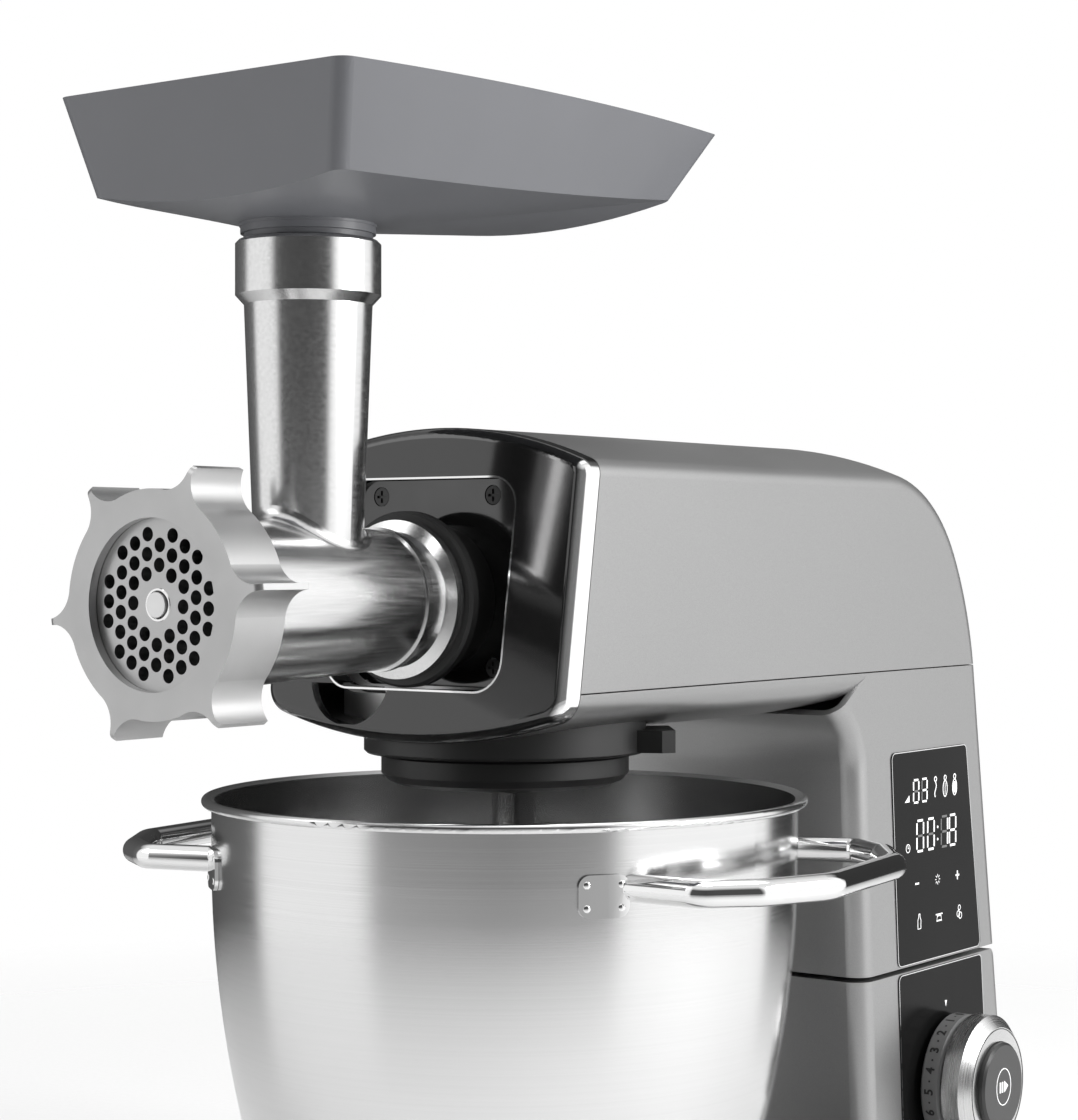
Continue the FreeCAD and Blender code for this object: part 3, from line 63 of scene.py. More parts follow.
class Shader:
    """A Principled material that is built up node by node."""

    def __init__(self, name, color, metallic=0.0, roughness=0.5, **sockets):
        self.material = bpy.data.materials.new(name)
        self.material.use_nodes = True
        self.tree = self.material.node_tree
        self.surface = self.tree.nodes["Principled BSDF"]
        self.put(self.surface, "Base Color", (*color, 1.0))
        self.put(self.surface, "Metallic", metallic)
        self.put(self.surface, "Roughness", roughness)
        for socket, value in sockets.items():
            self.put(self.surface, socket.replace("_", " "), value)
        self.color = color
        self.height = None

    def put(self, node, socket, value):
        node.inputs[socket].default_value = value

    def add(self, kind, **settings):
        node = self.tree.nodes.new(kind)
        for name, value in settings.items():
            setattr(node, name, value)
        return node

    def link(self, source, node, socket):
        self.tree.links.new(source, node.inputs[socket])

    def place(self, stretch, spin=0.0):
        """Object coordinates, stretched so that a texture lies along a direction."""
        where = self.add("ShaderNodeTexCoord")
        mapping = self.add("ShaderNodeMapping")
        mapping.inputs["Scale"].default_value = stretch
        mapping.inputs["Rotation"].default_value = (0, 0, spin)
        self.link(where.outputs["Object"], mapping, "Vector")
        return mapping.outputs["Vector"]

    def noise(self, stretch, detail=4.0, spin=0.0):
        texture = self.add("ShaderNodeTexNoise")
        self.put(texture, "Scale", 1.0)
        self.put(texture, "Detail", detail)
        self.link(self.place(stretch, spin), texture, "Vector")
        return texture.outputs["Fac"]

    def spread(self, source, low, high, clamp_low=0.3, clamp_high=0.7):
        """Map a texture onto a range of numbers."""
        ranged = self.add("ShaderNodeMapRange")
        for socket, value in (("From Min", clamp_low), ("From Max", clamp_high),
                              ("To Min", low), ("To Max", high)):
            self.put(ranged, socket, value)
        self.link(source, ranged, "Value")
        return ranged.outputs["Result"]

    def vary_roughness(self, source, low, high):
        self.link(self.spread(source, low, high), self.surface, "Roughness")

    def vary_color(self, source, other):
        mix = self.add("ShaderNodeMix", data_type="RGBA")
        mix.inputs[6].default_value = (*self.color, 1.0)
        mix.inputs[7].default_value = (*other, 1.0)
        self.link(self.spread(source, 0.0, 1.0), mix, 0)
        self.link(mix.outputs[2], self.surface, "Base Color")

    def bump(self, source, strength, depth):
        node = self.add("ShaderNodeBump")
        self.put(node, "Strength", strength)
        self.put(node, "Distance", depth)
        self.link(source, node, "Height")
        if self.height is not None:
            self.link(self.height, node, "Normal")
        self.link(node.outputs["Normal"], self.surface, "Normal")
        self.height = node.outputs["Normal"]

    def tangent_round(self, axis):
        node = self.add("ShaderNodeTangent", direction_type="RADIAL", axis=axis)
        self.link(node.outputs["Tangent"], self.surface, "Tangent")


def grey(value):
    return (value, value, value)


# ---------------------------------------------------------------- materials

def brushed(name, tone, stretch, axis, rough=(0.2, 0.3), anisotropic=0.6, contrast=0.1, depth=0.05):
    """Steel with fine parallel scratches; stretch is dense across them."""
    shader = Shader(name, grey(tone), 1.0, 0.25, Anisotropic=anisotropic)
    scratch = shader.noise(stretch, 6.0)
    shader.vary_roughness(scratch, *rough)
    shader.vary_color(scratch, grey(tone * (1 - contrast)))
    shader.bump(scratch, depth, 0.0002)
    shader.tangent_round(axis)
    return shader.material


def grained(name, color, roughness, scale=1600.0, strength=0.12, **sockets):
    """Moulded plastic or rubber with a fine spark-eroded grain."""
    shader = Shader(name, color, 0.0, roughness, **sockets)
    grain = shader.noise((scale, scale, scale), 2.0)
    cloud = shader.noise((14, 14, 14), 3.0)
    shader.vary_roughness(cloud, roughness - 0.04, roughness + 0.05)
    shader.vary_color(cloud, tuple(part * 1.12 for part in color))
    shader.bump(grain, strength, 0.0001)
    return shader.material


def painted(name, tone, roughness=0.36):
    """Silver paint: a metallic base with flakes under a thin clear coat."""
    shader = Shader(name, grey(tone), 0.75, roughness, Coat_Weight=0.18, Coat_Roughness=0.2)
    flake = shader.noise((5200, 5200, 5200), 1.0)
    cloud = shader.noise((9, 9, 9), 2.0)
    shader.vary_roughness(cloud, roughness - 0.03, roughness + 0.04)
    shader.vary_color(flake, grey(tone * 1.22))
    shader.bump(flake, 0.06, 0.00005)
    return shader.material


def polished(name, tone, rough=(0.035, 0.07)):
    shader = Shader(name, grey(tone), 1.0, 0.05)
    haze = shader.noise((60, 60, 60), 4.0)
    shader.vary_roughness(haze, *rough)
    shader.bump(haze, 0.02, 0.0002)
    return shader.material


def dark_chrome(name):
    shader = Shader(name, grey(0.06), 0.85, 0.07, Coat_Weight=0.35, Coat_Roughness=0.04)
    haze = shader.noise((35, 35, 35), 3.0)
    shader.vary_roughness(haze, 0.055, 0.1)
    shader.vary_color(haze, grey(0.075))
    return shader.material


# direction in which the bezel's right upright corner faces at rest; surfaces turned toward it get a
# painted highlight in their base colour
PAINTED_HIGHLIGHT_FACING = (0.9, -0.43, 0.0)


def corner_chrome(name, tone):
    """Dark plated plastic with a painted highlight: the base colour turns pale where the surface turns
    toward the corner and the right side, in place of a reflection.
    """
    shader = Shader(name, grey(tone), 0.85, 0.08, Coat_Weight=0.35, Coat_Roughness=0.05)
    haze = shader.noise((35, 35, 35), 3.0)
    shader.vary_roughness(haze, 0.06, 0.11)
    surface = shader.add("ShaderNodeNewGeometry")
    highlight_facing = shader.add("ShaderNodeVectorMath", operation="DOT_PRODUCT")
    highlight_facing.inputs[1].default_value = PAINTED_HIGHLIGHT_FACING
    shader.link(surface.outputs["Normal"], highlight_facing, 0)
    # painted highlight: pale base colour wherever the surface faces the bezel's corner direction
    shader.vary_color(shader.spread(highlight_facing.outputs["Value"], 0.3, 0.7, 0.62, 0.86), grey(0.9))
    return shader.material


def cast(name, tone, rough=(0.36, 0.5)):
    """Cast light metal with a fine blasted skin."""
    shader = Shader(name, grey(tone), 0.85, 0.42)
    skin = shader.noise((1500, 1500, 1500), 3.0)
    cloud = shader.noise((40, 40, 40), 3.0)
    shader.vary_roughness(cloud, *rough)
    shader.vary_color(cloud, grey(tone * 0.93))
    shader.bump(skin, 0.12, 0.0001)
    return shader.material


def black_glass(name):
    shader = Shader(name, grey(0.007), 0.0, 0.2, Specular_IOR_Level=0.07)
    smear = shader.noise((22, 22, 22), 5.0)
    shader.vary_roughness(smear, 0.17, 0.26)
    shader.vary_color(smear, grey(0.009))
    return shader.material


def print_ink(name, tone, glow=0.0):
    shader = Shader(name, grey(tone), 0.0, 0.5, Emission_Color=(1, 1, 1, 1), Emission_Strength=glow)
    speck = shader.noise((900, 900, 900), 2.0)
    shader.vary_roughness(speck, 0.45, 0.6)
    shader.vary_color(speck, grey(tone * 0.95))
    return shader.material


def circuit_board(name):
    """Green solder resist with faint darker tracks."""
    shader = Shader(name, (0.015, 0.11, 0.05), 0.0, 0.35, Coat_Weight=0.3)
    tracks = shader.add("ShaderNodeTexWave", wave_type="BANDS", bands_direction="DIAGONAL")
    shader.put(tracks, "Scale", 240.0)
    shader.put(tracks, "Distortion", 9.0)
    shader.link(shader.place((1, 1, 1)), tracks, "Vector")
    shader.vary_color(tracks.outputs["Fac"], (0.01, 0.075, 0.035))
    shader.vary_roughness(tracks.outputs["Fac"], 0.3, 0.42)
    return shader.material


def copper(name):
    """Enamelled winding: fine parallel turns."""
    shader = Shader(name, (0.62, 0.27, 0.12), 0.9, 0.35)
    turns = shader.add("ShaderNodeTexWave", wave_type="BANDS", bands_direction="Z")
    shader.put(turns, "Scale", 420.0)
    shader.link(shader.place((1, 1, 1)), turns, "Vector")
    shader.vary_color(turns.outputs["Fac"], (0.4, 0.15, 0.06))
    shader.vary_roughness(turns.outputs["Fac"], 0.3, 0.45)
    shader.bump(turns.outputs["Fac"], 0.3, 0.0002)
    return shader.material


def pale_floor(name, fade_from, fade_to):
    """White paper that fades out into the background far from the object."""
    shader = Shader(name, grey(0.86), 0.0, 0.7)
    fibre = shader.noise((300, 300, 300), 3.0)
    shader.vary_roughness(fibre, 0.66, 0.76)
    shader.vary_color(fibre, grey(0.84))
    where = shader.add("ShaderNodeTexCoord")
    far = shader.add("ShaderNodeVectorMath", operation="LENGTH")
    shader.link(where.outputs["Object"], far, 0)
    clear = shader.spread(far.outputs["Value"], 1.0, 0.0, fade_from, fade_to)
    shader.link(clear, shader.surface, "Alpha")
    return shader.material


# dense across the scratches: rings about Z, Y and X
RINGS_Z = (3.0, 3.0, 5200.0)
RINGS_Y = (3.0, 2600.0, 3.0)
RINGS_X = (2600.0, 3.0, 3.0)

SLOT_LOOKS = {
    "silver_paint": painted("silver_paint_look", 0.31),
    "gunmetal_chrome": dark_chrome("gunmetal_chrome_look"),
    "brushed_steel": brushed("brushed_bowl", 0.72, RINGS_Z, "Z", (0.12, 0.2), 0.5, 0.04, 0.02),
    "polished_steel": polished("polished_steel_look", 0.8),
    "cast_alloy": cast("cast_alloy_look", 0.7),
    "machined_steel": brushed("turned_steel", 0.62, RINGS_Y, "Y", (0.2, 0.34)),
    "hardened_steel": brushed("ground_steel", 0.14, RINGS_Y, "Y", (0.3, 0.42)),
    "grey_plastic": grained("grey_plastic_look", (0.15, 0.153, 0.165), 0.42, Coat_Weight=0.1),
    "black_plastic": grained("black_plastic_look", grey(0.016), 0.4),
    "black_glass": black_glass("black_glass_look"),
    "black_rubber": grained("black_rubber_look", grey(0.012), 0.55, strength=0.25),
    "steel_plate": brushed("plated_steel", 0.45, (1800.0, 5.0, 5.0), "X", (0.28, 0.42)),
    "copper_winding": copper("copper_winding_look"),
    "brass_gear": cast("brass_gear_look", 0.5, (0.25, 0.38)),
    "circuit_board": circuit_board("circuit_board_look"),
    "dial_metal": brushed("dial_metal_look", 0.66, RINGS_X, "X", (0.2, 0.32), 0.7),
}
NODE_LOOKS = {
    "grinder_housing": brushed("brushed_barrel", 0.7, (900.0, 40.0, 900.0), "Z", (0.17, 0.25), 0.3,
                               contrast=0.05, depth=0.015),
    "dial_skirt": grained("dial_skirt_look", grey(0.15), 0.42),
    # the bezel's pale corner strip is a painted highlight, not a reflection
    "front_bezel": corner_chrome("front_bezel_painted_highlight_look", 0.06),
    "hub_screws": grained("hub_screws_look", grey(0.014), 0.35),
    "start_button": grained("start_button_look", grey(0.035), 0.34),
    "grinding_plate": brushed("plate_face", 0.44, (4.0, 4.0, 4.0), "Y", (0.32, 0.42), 0.2),
    "ring_nut": cast("ring_nut_look", 0.46, (0.3, 0.42)),
}


def paint_nodes():
    """Give each frame node its slot's look, or one of its own."""
    slots = {row["node"]: row["material_slot"] for row in frame["record"]["subparts"]}
    for name, item in NODES.items():
        item.data.materials.clear()
        item.data.materials.append(NODE_LOOKS.get(name) or SLOT_LOOKS[slots[name]])


# ---------------------------------------------------------------- mesh helpers

def new_piece(name, points, faces, look, body, smooth=True):
    mesh = bpy.data.meshes.new(name)
    mesh.from_pydata([tuple(point) for point in points], [], faces)
    mesh.validate()
    mesh.materials.append(look)
    if smooth:
        mesh.shade_smooth()
        mesh.set_sharp_from_angle(angle=math.radians(35))
    piece = bpy.data.objects.new(name, mesh)
    bpy.context.scene.collection.objects.link(piece)
    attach(piece, body)
    return piece


class Build:
    """Points and faces gathered from several closed solids."""

    def __init__(self):
        self.points, self.faces = [], []

    def add(self, points, faces):
        start = len(self.points)
        self.points += [Vector(point) for point in points]
        self.faces += [tuple(start + index for index in face) for face in faces]

    def ribbon(self, line, width, put, thick, closed=False):
        """Flat raised stroke along a line of (across, up) points; put(across, up, out) places it."""
        count = len(line)
        flat = [Vector((*point, 0)) for point in line]
        rows = []
        for index, point in enumerate(flat):
            before = flat[index - 1] if (index or closed) else point
            after = flat[(index + 1) % count] if (index < count - 1 or closed) else point
            along = (after - before).normalized()
            side = Vector((-along.y, along.x, 0)) * width / 2
            into, out = (point - before), (after - point)
            if into.length > 1e-9 and out.length > 1e-9:
                side /= max(0.6, math.cos(into.angle(out) / 2))
            left, right = point + side, point - side
            rows.append([put(left.x, left.y, 0), put(right.x, right.y, 0),
                         put(right.x, right.y, thick), put(left.x, left.y, thick)])
        points = [corner for row in rows for corner in row]
        faces = []
        for index in range(count if closed else count - 1):
            here, there = 4 * index, 4 * ((index + 1) % count)
            for side in range(4):
                turn = (side + 1) % 4
                faces.append((here + side, there + side, there + turn, here + turn))
        if not closed:
            last = 4 * (count - 1)
            faces += [(3, 2, 1, 0), (last, last + 1, last + 2, last + 3)]
        self.add(points, faces)

    def plate(self, outline, put, thick):
        """Flat raised patch with a convex outline."""
        count = len(outline)
        points = [put(*point, 0) for point in outline] + [put(*point, thick) for point in outline]
        faces = [tuple(range(count))[::-1], tuple(range(count, 2 * count))]
        faces += [(index, (index + 1) % count, count + (index + 1) % count, count + index)
                  for index in range(count)]
        self.add(points, faces)

    def lathe(self, profile, origin, axis, steps=64):
        """Closed ring turned about an axis; profile is (along, radius) and has a hole."""
        axis = Vector(axis).normalized()
        first = axis.orthogonal().normalized()
        second = axis.cross(first)
        points, faces, rows = [], [], len(profile)
        for step in range(steps):
            turn = 2 * math.pi * step / steps
            out = first * math.cos(turn) + second * math.sin(turn)
            points += [Vector(origin) + axis * along + out * radius for along, radius in profile]
        for step in range(steps):
            here, there = step * rows, ((step + 1) % steps) * rows
            for row in range(rows):
                up = (row + 1) % rows
                faces.append((here + row, there + row, there + up, here + up))
        self.add(points, faces)

    def dome(self, radius, rise, origin, normal, steps=20, rings=4):
        """Shallow closed cap."""
        normal = Vector(normal).normalized()
        first = normal.orthogonal().normalized()
        second = normal.cross(first)
        points, faces = [Vector(origin) + normal * rise], []
        for ring in range(1, rings + 1):
            tilt = math.pi / 2 * ring / rings
            for step in range(steps):
                turn = 2 * math.pi * step / steps
                out = first * math.cos(turn) + second * math.sin(turn)
                points.append(Vector(origin) + normal * rise * math.cos(tilt)
                              + out * radius * math.sin(tilt))
        for step in range(steps):
            follow = (step + 1) % steps
            faces.append((0, 1 + step, 1 + follow))
            for ring in range(rings - 1):
                here, there = 1 + ring * steps, 1 + (ring + 1) * steps
                faces.append((here + step, there + step, there + follow, here + follow))
        faces.append(tuple(1 + (rings - 1) * steps + step for step in range(steps))[::-1])
        self.add(points, faces)

    def piece(self, name, look, body, slot=None, smooth=True):
        return new_piece(name, self.points, self.faces, look, body, smooth)


def arc(centre, radius, start, stop, steps):
    """Points on a circle, angles in degrees."""
    points = []
    for step in range(steps + 1):
        turn = math.radians(start + (stop - start) * step / steps)
        points.append((centre[0] + radius * math.cos(turn), centre[1] + radius * math.sin(turn)))
    return points


def rounded_loop(corners, radius, steps=6):
    """Closed outline with round corners."""
    loop, count = [], len(corners)
    for index, corner in enumerate(corners):
        corner = Vector(corner)
        before = (Vector(corners[index - 1]) - corner).normalized()
        after = (Vector(corners[(index + 1) % count]) - corner).normalized()
        half = before.angle(after) / 2
        start = corner + before * radius / math.tan(half)
        stop = corner + after * radius / math.tan(half)
        centre = corner + (before + after).normalized() * radius / math.sin(half)
        for step in range(steps + 1):
            mix = start.lerp(stop, step / steps) - centre
            point = centre + mix.normalized() * radius
            loop.append((point.x, point.y))
    return loop


def box_of(node):
    low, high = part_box(node)
    return low, high


def joint_point(name):
    return Vector(JOINTS[name]["pos_m"])


# ---------------------------------------------------------------- control panel

GLASS_FACE = box_of("control_glass_upper")[1].x
PRINT_THICK = 0.00012
DISPLAY_CENTRE, DISPLAY_TOP = 0.1521, 0.2165
WHITE_INK = print_ink("white_print", 0.85, 0.55)
DIM_INK = print_ink("dim_print", 0.16)
BLACK_INK = print_ink("black_print", 0.012)


def on_glass(across, up, out):
    """Across is Y and up is Z, both in metres; out stands off the glass."""
    return Vector((GLASS_FACE + out, across, up))


SEGMENTS = {
    "a": ((0.1, 1.0), (0.9, 1.0)), "b": ((1.0, 0.93), (1.0, 0.55)), "c": ((1.0, 0.45), (1.0, 0.07)),
    "d": ((0.1, 0.0), (0.9, 0.0)), "e": ((0.0, 0.45), (0.0, 0.07)), "f": ((0.0, 0.93), (0.0, 0.55)),
    "g": ((0.15, 0.5), (0.85, 0.5)),
}
LIT = {"0": "abcdef", "1": "bc", "3": "abcdg", "8": "abcdefg"}


def seven_segment(lit, unlit, digit, left, low, wide, tall, stroke):
    for name, ends in SEGMENTS.items():
        line = [(left + across * wide, low + up * tall) for across, up in ends]
        target = lit if name in LIT[digit] else unlit
        target.ribbon(line, stroke, on_glass, PRINT_THICK)


def display(centre, top):
    """Lit readouts and touch symbols; centre is the panel's middle Y and top its upper line's Z."""
    lit, unlit = Build(), Build()
    # speed readout and its wedge
    speed_low = top - 9.6 * MM
    for index, digit in enumerate("03"):
        seven_segment(lit, unlit, digit, centre + (-17.6 + 7.4 * index) * MM, speed_low,
                      4.6 * MM, 9.4 * MM, 0.85 * MM)
    wedge_at = centre - 25.2 * MM
    lit.plate([(wedge_at, speed_low + 0.6 * MM), (wedge_at + 3.9 * MM, speed_low + 0.6 * MM),
               (wedge_at + 3.9 * MM, speed_low + 3.4 * MM)], on_glass, PRINT_THICK)
    # three tools: a hook, a whisk and a beater
    tool_at = [centre + offset * MM for offset in (2.0, 10.8, 19.6)]
    for across in tool_at:
        lit.ribbon(arc((across, top - 1.0 * MM), 1.0 * MM, 0, 340, 14), 0.4 * MM, on_glass,
                   PRINT_THICK, closed=True)
    hook = [(tool_at[0] + 0.7 * MM * math.sin(step * 0.75), top - (2.2 + 0.8 * step) * MM)
            for step in range(9)]
    lit.ribbon(hook, 0.5 * MM, on_glass, PRINT_THICK)
    for across, filled in ((tool_at[1], False), (tool_at[2], True)):
        bulb = [(across + 1.9 * MM * math.sin(turn), top - (5.6 - 3.4 * math.cos(turn)) * MM)
                for turn in [2 * math.pi * step / 18 for step in range(18)]]
        lit.ribbon(bulb, 0.4 * MM, on_glass, PRINT_THICK, closed=True)
        wires = (-1.1, -0.4, 0.4, 1.1) if filled else (0.0,)
        for shift in wires:
            lit.ribbon([(across + shift * MM, top - 3.2 * MM), (across + shift * MM, top - 8.0 * MM)],
                       0.45 * MM if filled else 0.3 * MM, on_glass, PRINT_THICK)
    # timer
    timer_low = top - 30.2 * MM
    for digit, left in zip("0018", (-14.6, -5.0, 7.2, 14.8)):
        seven_segment(lit, unlit, digit, centre + left * MM, timer_low, 5.8 * MM, 12.8 * MM, 0.95 * MM)
    for height in (3.6, 8.8):
        dot = arc((centre + 4.0 * MM, timer_low + height * MM), 0.55 * MM, 0, 330, 11)
        lit.plate(dot, on_glass, PRINT_THICK)
    clock = (centre - 22.4 * MM, timer_low + 2.0 * MM)
    lit.ribbon(arc(clock, 1.7 * MM, 0, 342, 19), 0.3 * MM, on_glass, PRINT_THICK, closed=True)
    lit.ribbon([(clock[0], clock[1] + 1.1 * MM), clock, (clock[0] + 0.8 * MM, clock[1])], 0.3 * MM,
               on_glass, PRINT_THICK)
    # minus, lamp and plus
    key_z = top - 43.6 * MM
    keys = [centre + offset * MM for offset in (-14.4, 4.0, 22.2)]
    for across in (keys[0], keys[2]):
        lit.ribbon([(across - 1.6 * MM, key_z), (across + 1.6 * MM, key_z)], 0.75 * MM, on_glass,
                   PRINT_THICK)
    lit.ribbon([(keys[2], key_z - 1.9 * MM), (keys[2], key_z + 1.9 * MM)], 0.75 * MM, on_glass,
               PRINT_THICK)
    for ray in range(8):
        turn = math.radians(45 * ray)
        lit.ribbon([(keys[1] + reach * MM * math.cos(turn), key_z + reach * MM * math.sin(turn))
                    for reach in (1.1, 2.2)], 0.28 * MM, on_glass, PRINT_THICK)
    # bottle, scale pan and food
    icon_z = top - 59.8 * MM
    at = centre - 12.4 * MM
    bottle = [(-1.3, -2.9), (1.3, -2.9), (1.4, 0.7), (0.6, 2.0), (0.5, 3.3), (-0.5, 3.3), (-0.6, 2.0),
              (-1.4, 0.7)]
    lit.ribbon([(at + x * MM, icon_z + z * MM) for x, z in bottle], 0.3 * MM, on_glass, PRINT_THICK,
               closed=True)
    at = centre + 5.4 * MM
    lit.ribbon([(at - 3.0 * MM, icon_z + 1.3 * MM), (at + 3.0 * MM, icon_z + 1.3 * MM)], 0.5 * MM,
               on_glass, PRINT_THICK)
    lit.ribbon([(at - 2.2 * MM, icon_z - 1.4 * MM), (at + 2.2 * MM, icon_z - 1.4 * MM),
                (at + 1.5 * MM, icon_z + 0.7 * MM), (at - 1.5 * MM, icon_z + 0.7 * MM)], 0.4 * MM,
               on_glass, PRINT_THICK, closed=True)
    at = centre + 24.0 * MM
    for shift, height, radius in ((0.0, 2.0, 1.1), (-0.9, -0.6, 1.3), (0.9, -1.4, 1.4)):
        lit.ribbon(arc((at + shift * MM, icon_z + height * MM), radius * MM, 0, 330, 11), 0.3 * MM,
                   on_glass, PRINT_THICK, closed=True)
    lit.piece("display_symbols", WHITE_INK, "head")
    unlit.piece("display_unlit_segments", DIM_INK, "head")


def panel_marks():
    """Pointer above the dial."""
    marks = Build()
    pivot = joint_point("dial_turn")
    top = pivot.z + 33.6 * MM
    marks.plate([(pivot.y - 0.9 * MM, top), (pivot.y, top - 2.6 * MM), (pivot.y + 0.9 * MM, top)],
                on_glass, PRINT_THICK)
    marks.piece("dial_pointer_mark", WHITE_INK, "base")


def glass_edges():
    """Thin bright line round each pane, where the bevel catches the light."""
    for node, body in (("control_glass_upper", "head"), ("control_glass_lower", "base")):
        item = NODES[node]
        low, high = box_of(node)
        rim_points = [v.co for v in item.data.vertices if v.co.x > high.x - 0.00005]
        down = min(point.z for point in rim_points)
        up = max(point.z for point in rim_points)

        def ends(height):
            row = [p.y for p in rim_points if abs(p.z - height) < 0.004]
            return min(row), max(row)

        bottom, upper = ends(down), ends(up)
        inset = 0.35 * MM
        corners = [(bottom[0] + inset, down + inset), (bottom[1] - inset, down + inset),
                   (upper[1] - inset, up - inset), (upper[0] + inset, up - inset)]
        edge = Build()
        edge.ribbon(rounded_loop(corners, 2.6 * MM), 0.35 * MM, on_glass, 0.00008, closed=True)
        edge.piece(f"{node}_edge", SLOT_LOOKS["polished_steel"], body, "polished_steel")


# ---------------------------------------------------------------- dial

def dial_details():
    """Numerals and dots round the skirt, a thin black ring of painted shade where a groove would be, and
    the start symbol.
    """
    pivot = joint_point("dial_turn")
    low, high = box_of("dial_skirt")
    radius = (high.z - low.z) / 2
    middle = (low.x + high.x) / 2
    step = math.radians(18)

    def on_skirt(turn):
        def put(across, up, out):
            angle = turn - across / radius
            reach = radius + out - 0.00002
            return Vector((middle - up, pivot.y - reach * math.sin(angle),
                           pivot.z + reach * math.cos(angle)))
        return put

    numerals = Build()
    for number in range(0, 11):
        text = bpy.data.curves.new(f"numeral_{number}", "FONT")
        text.body = str(number)
        text.size = 5.4 * MM
        text.align_x, text.align_y = "CENTER", "CENTER"
        text.offset = 0.00014
        holder = bpy.data.objects.new("numeral_source", text)
        mesh = bpy.data.meshes.new_from_object(holder)
        put = on_skirt(number * step)
        points = [put(v.co.x, v.co.y, PRINT_THICK) for v in mesh.vertices]
        under = [put(v.co.x, v.co.y, 0.0) for v in mesh.vertices]
        count = len(points)
        faces = [tuple(polygon.vertices) for polygon in mesh.polygons]
        back = [tuple(count + index for index in face[::-1]) for face in faces]
        used = {}
        for face in faces:
            for first, second in zip(face, face[1:] + face[:1]):
                used[(first, second)] = used.get((first, second), 0) + 1
        walls = [(second, first, count + first, count + second) for first, second in used
                 if (second, first) not in used]
        numerals.add(points + under, faces + back + walls)
        bpy.data.objects.remove(holder)
        if number < 10:
            spot = on_skirt((number + 0.5) * step)
            numerals.plate(arc((0, 0), 0.45 * MM, 0, 330, 11), spot, PRINT_THICK)
    numerals.piece("dial_numerals", BLACK_INK, "speed_dial")

    # painted shade: a thin black ring stands in for the shade of a groove; no groove is cut
    ring = Build()
    outer = box_of("dial_ring")[1].z - pivot.z
    ring.lathe([(0.0, outer - 5.0 * MM), (0.12 * MM, outer - 5.0 * MM), (0.12 * MM, outer - 5.35 * MM),
                (0.0, outer - 5.35 * MM)], (box_of("dial_ring")[1].x, pivot.y, pivot.z), (1, 0, 0), 96)
    ring.piece("dial_groove_painted_shade", BLACK_INK, "speed_dial")

    face = box_of("start_button")[1].x

    def on_button(across, up, out):
        return Vector((face + out, pivot.y + across, pivot.z + up))

    symbol = Build()
    oval = [(6.6 * MM * math.cos(turn), 7.6 * MM * math.sin(turn))
            for turn in [2 * math.pi * step_number / 48 for step_number in range(48)]]
    symbol.ribbon(oval, 0.35 * MM, on_button, PRINT_THICK, closed=True)
    for shift in (-3.2, -1.2):
        symbol.ribbon([(shift * MM, -2.2 * MM), (shift * MM, 2.2 * MM)], 1.1 * MM, on_button, PRINT_THICK)
    symbol.plate([(0.6 * MM, -2.4 * MM), (4.0 * MM, 0.0), (0.6 * MM, 2.4 * MM)], on_button, PRINT_THICK)
    symbol.piece("start_symbol", WHITE_INK, "start_key")


# ---------------------------------------------------------------- bowl, hub and grinder trim

def weld_spots():
    """Four spot welds on each of the handles' end plates."""
    spots = Build()
    axis = joint_point("bowl_twist")
    swing, spread = math.radians(8), math.radians(43.5)
    skin = (108.4 + 1.4) * MM
    for side in (0, math.pi):
        for hand in (-1, 1):
            middle = side + swing + hand * spread
            for across in (-1, 1):
                for height in (193.4, 201.2):
                    turn = middle + across * 4.4 * MM / skin * 1.4
                    normal = Vector((math.cos(turn), math.sin(turn), 0))
                    at = Vector((axis.x, axis.y, height * MM)) + normal * (skin - 0.00012)
                    spots.dome(1.35 * MM, 0.45 * MM, at, normal)
    spots.piece("handle_weld_spots", SLOT_LOOKS["polished_steel"], "bowl", "polished_steel")


FRONT_LEAN = 8.81


def hub_rim():
    """Thin bright line that runs round the mouth of the hub recess."""
    low, high = box_of("hub_panel")
    lean = math.tan(math.radians(FRONT_LEAN))
    front_y, ref_z = -0.0573 - 51.0 * MM, 300.0 * MM

    def on_front(across, up, out):
        return Vector((across, front_y + (up - ref_z) * lean - out, up))

    grow = 0.7 * MM
    corners = [(low.x - grow, low.z - grow), (high.x + grow, low.z - grow),
               (high.x + grow, high.z + grow), (low.x - grow, high.z + grow)]
    rim = Build()
    rim.ribbon(rounded_loop(corners, 11.2 * MM, 10), 0.7 * MM, on_front, 0.12 * MM, closed=True)
    rim.piece("hub_recess_rim", SLOT_LOOKS["polished_steel"], "head", "polished_steel")


def pin_ring():
    """Turned ring round the screw's pin in the plate."""
    hub = joint_point("auger_spin")
    face = box_of("grinding_plate")[0].y
    ring = Build()
    ring.lathe([(0.0, 4.4 * MM), (0.25 * MM, 4.6 * MM), (0.25 * MM, 5.2 * MM), (0.0, 5.4 * MM)],
               (hub.x, face, hub.z), (0, -1, 0), 48)
    ring.piece("plate_pin_ring", SLOT_LOOKS["polished_steel"], "cutter_plate", "polished_steel")


# ---------------------------------------------------------------- stage, light and camera

CAMERA_LENS = 81.66
CAMERA_AT = (0.5690, -0.8112, 0.3108)
CAMERA_TURN = (90 - 0.142, 0, 36.28)
FLOOR_FADE = (0.36, 1.1)


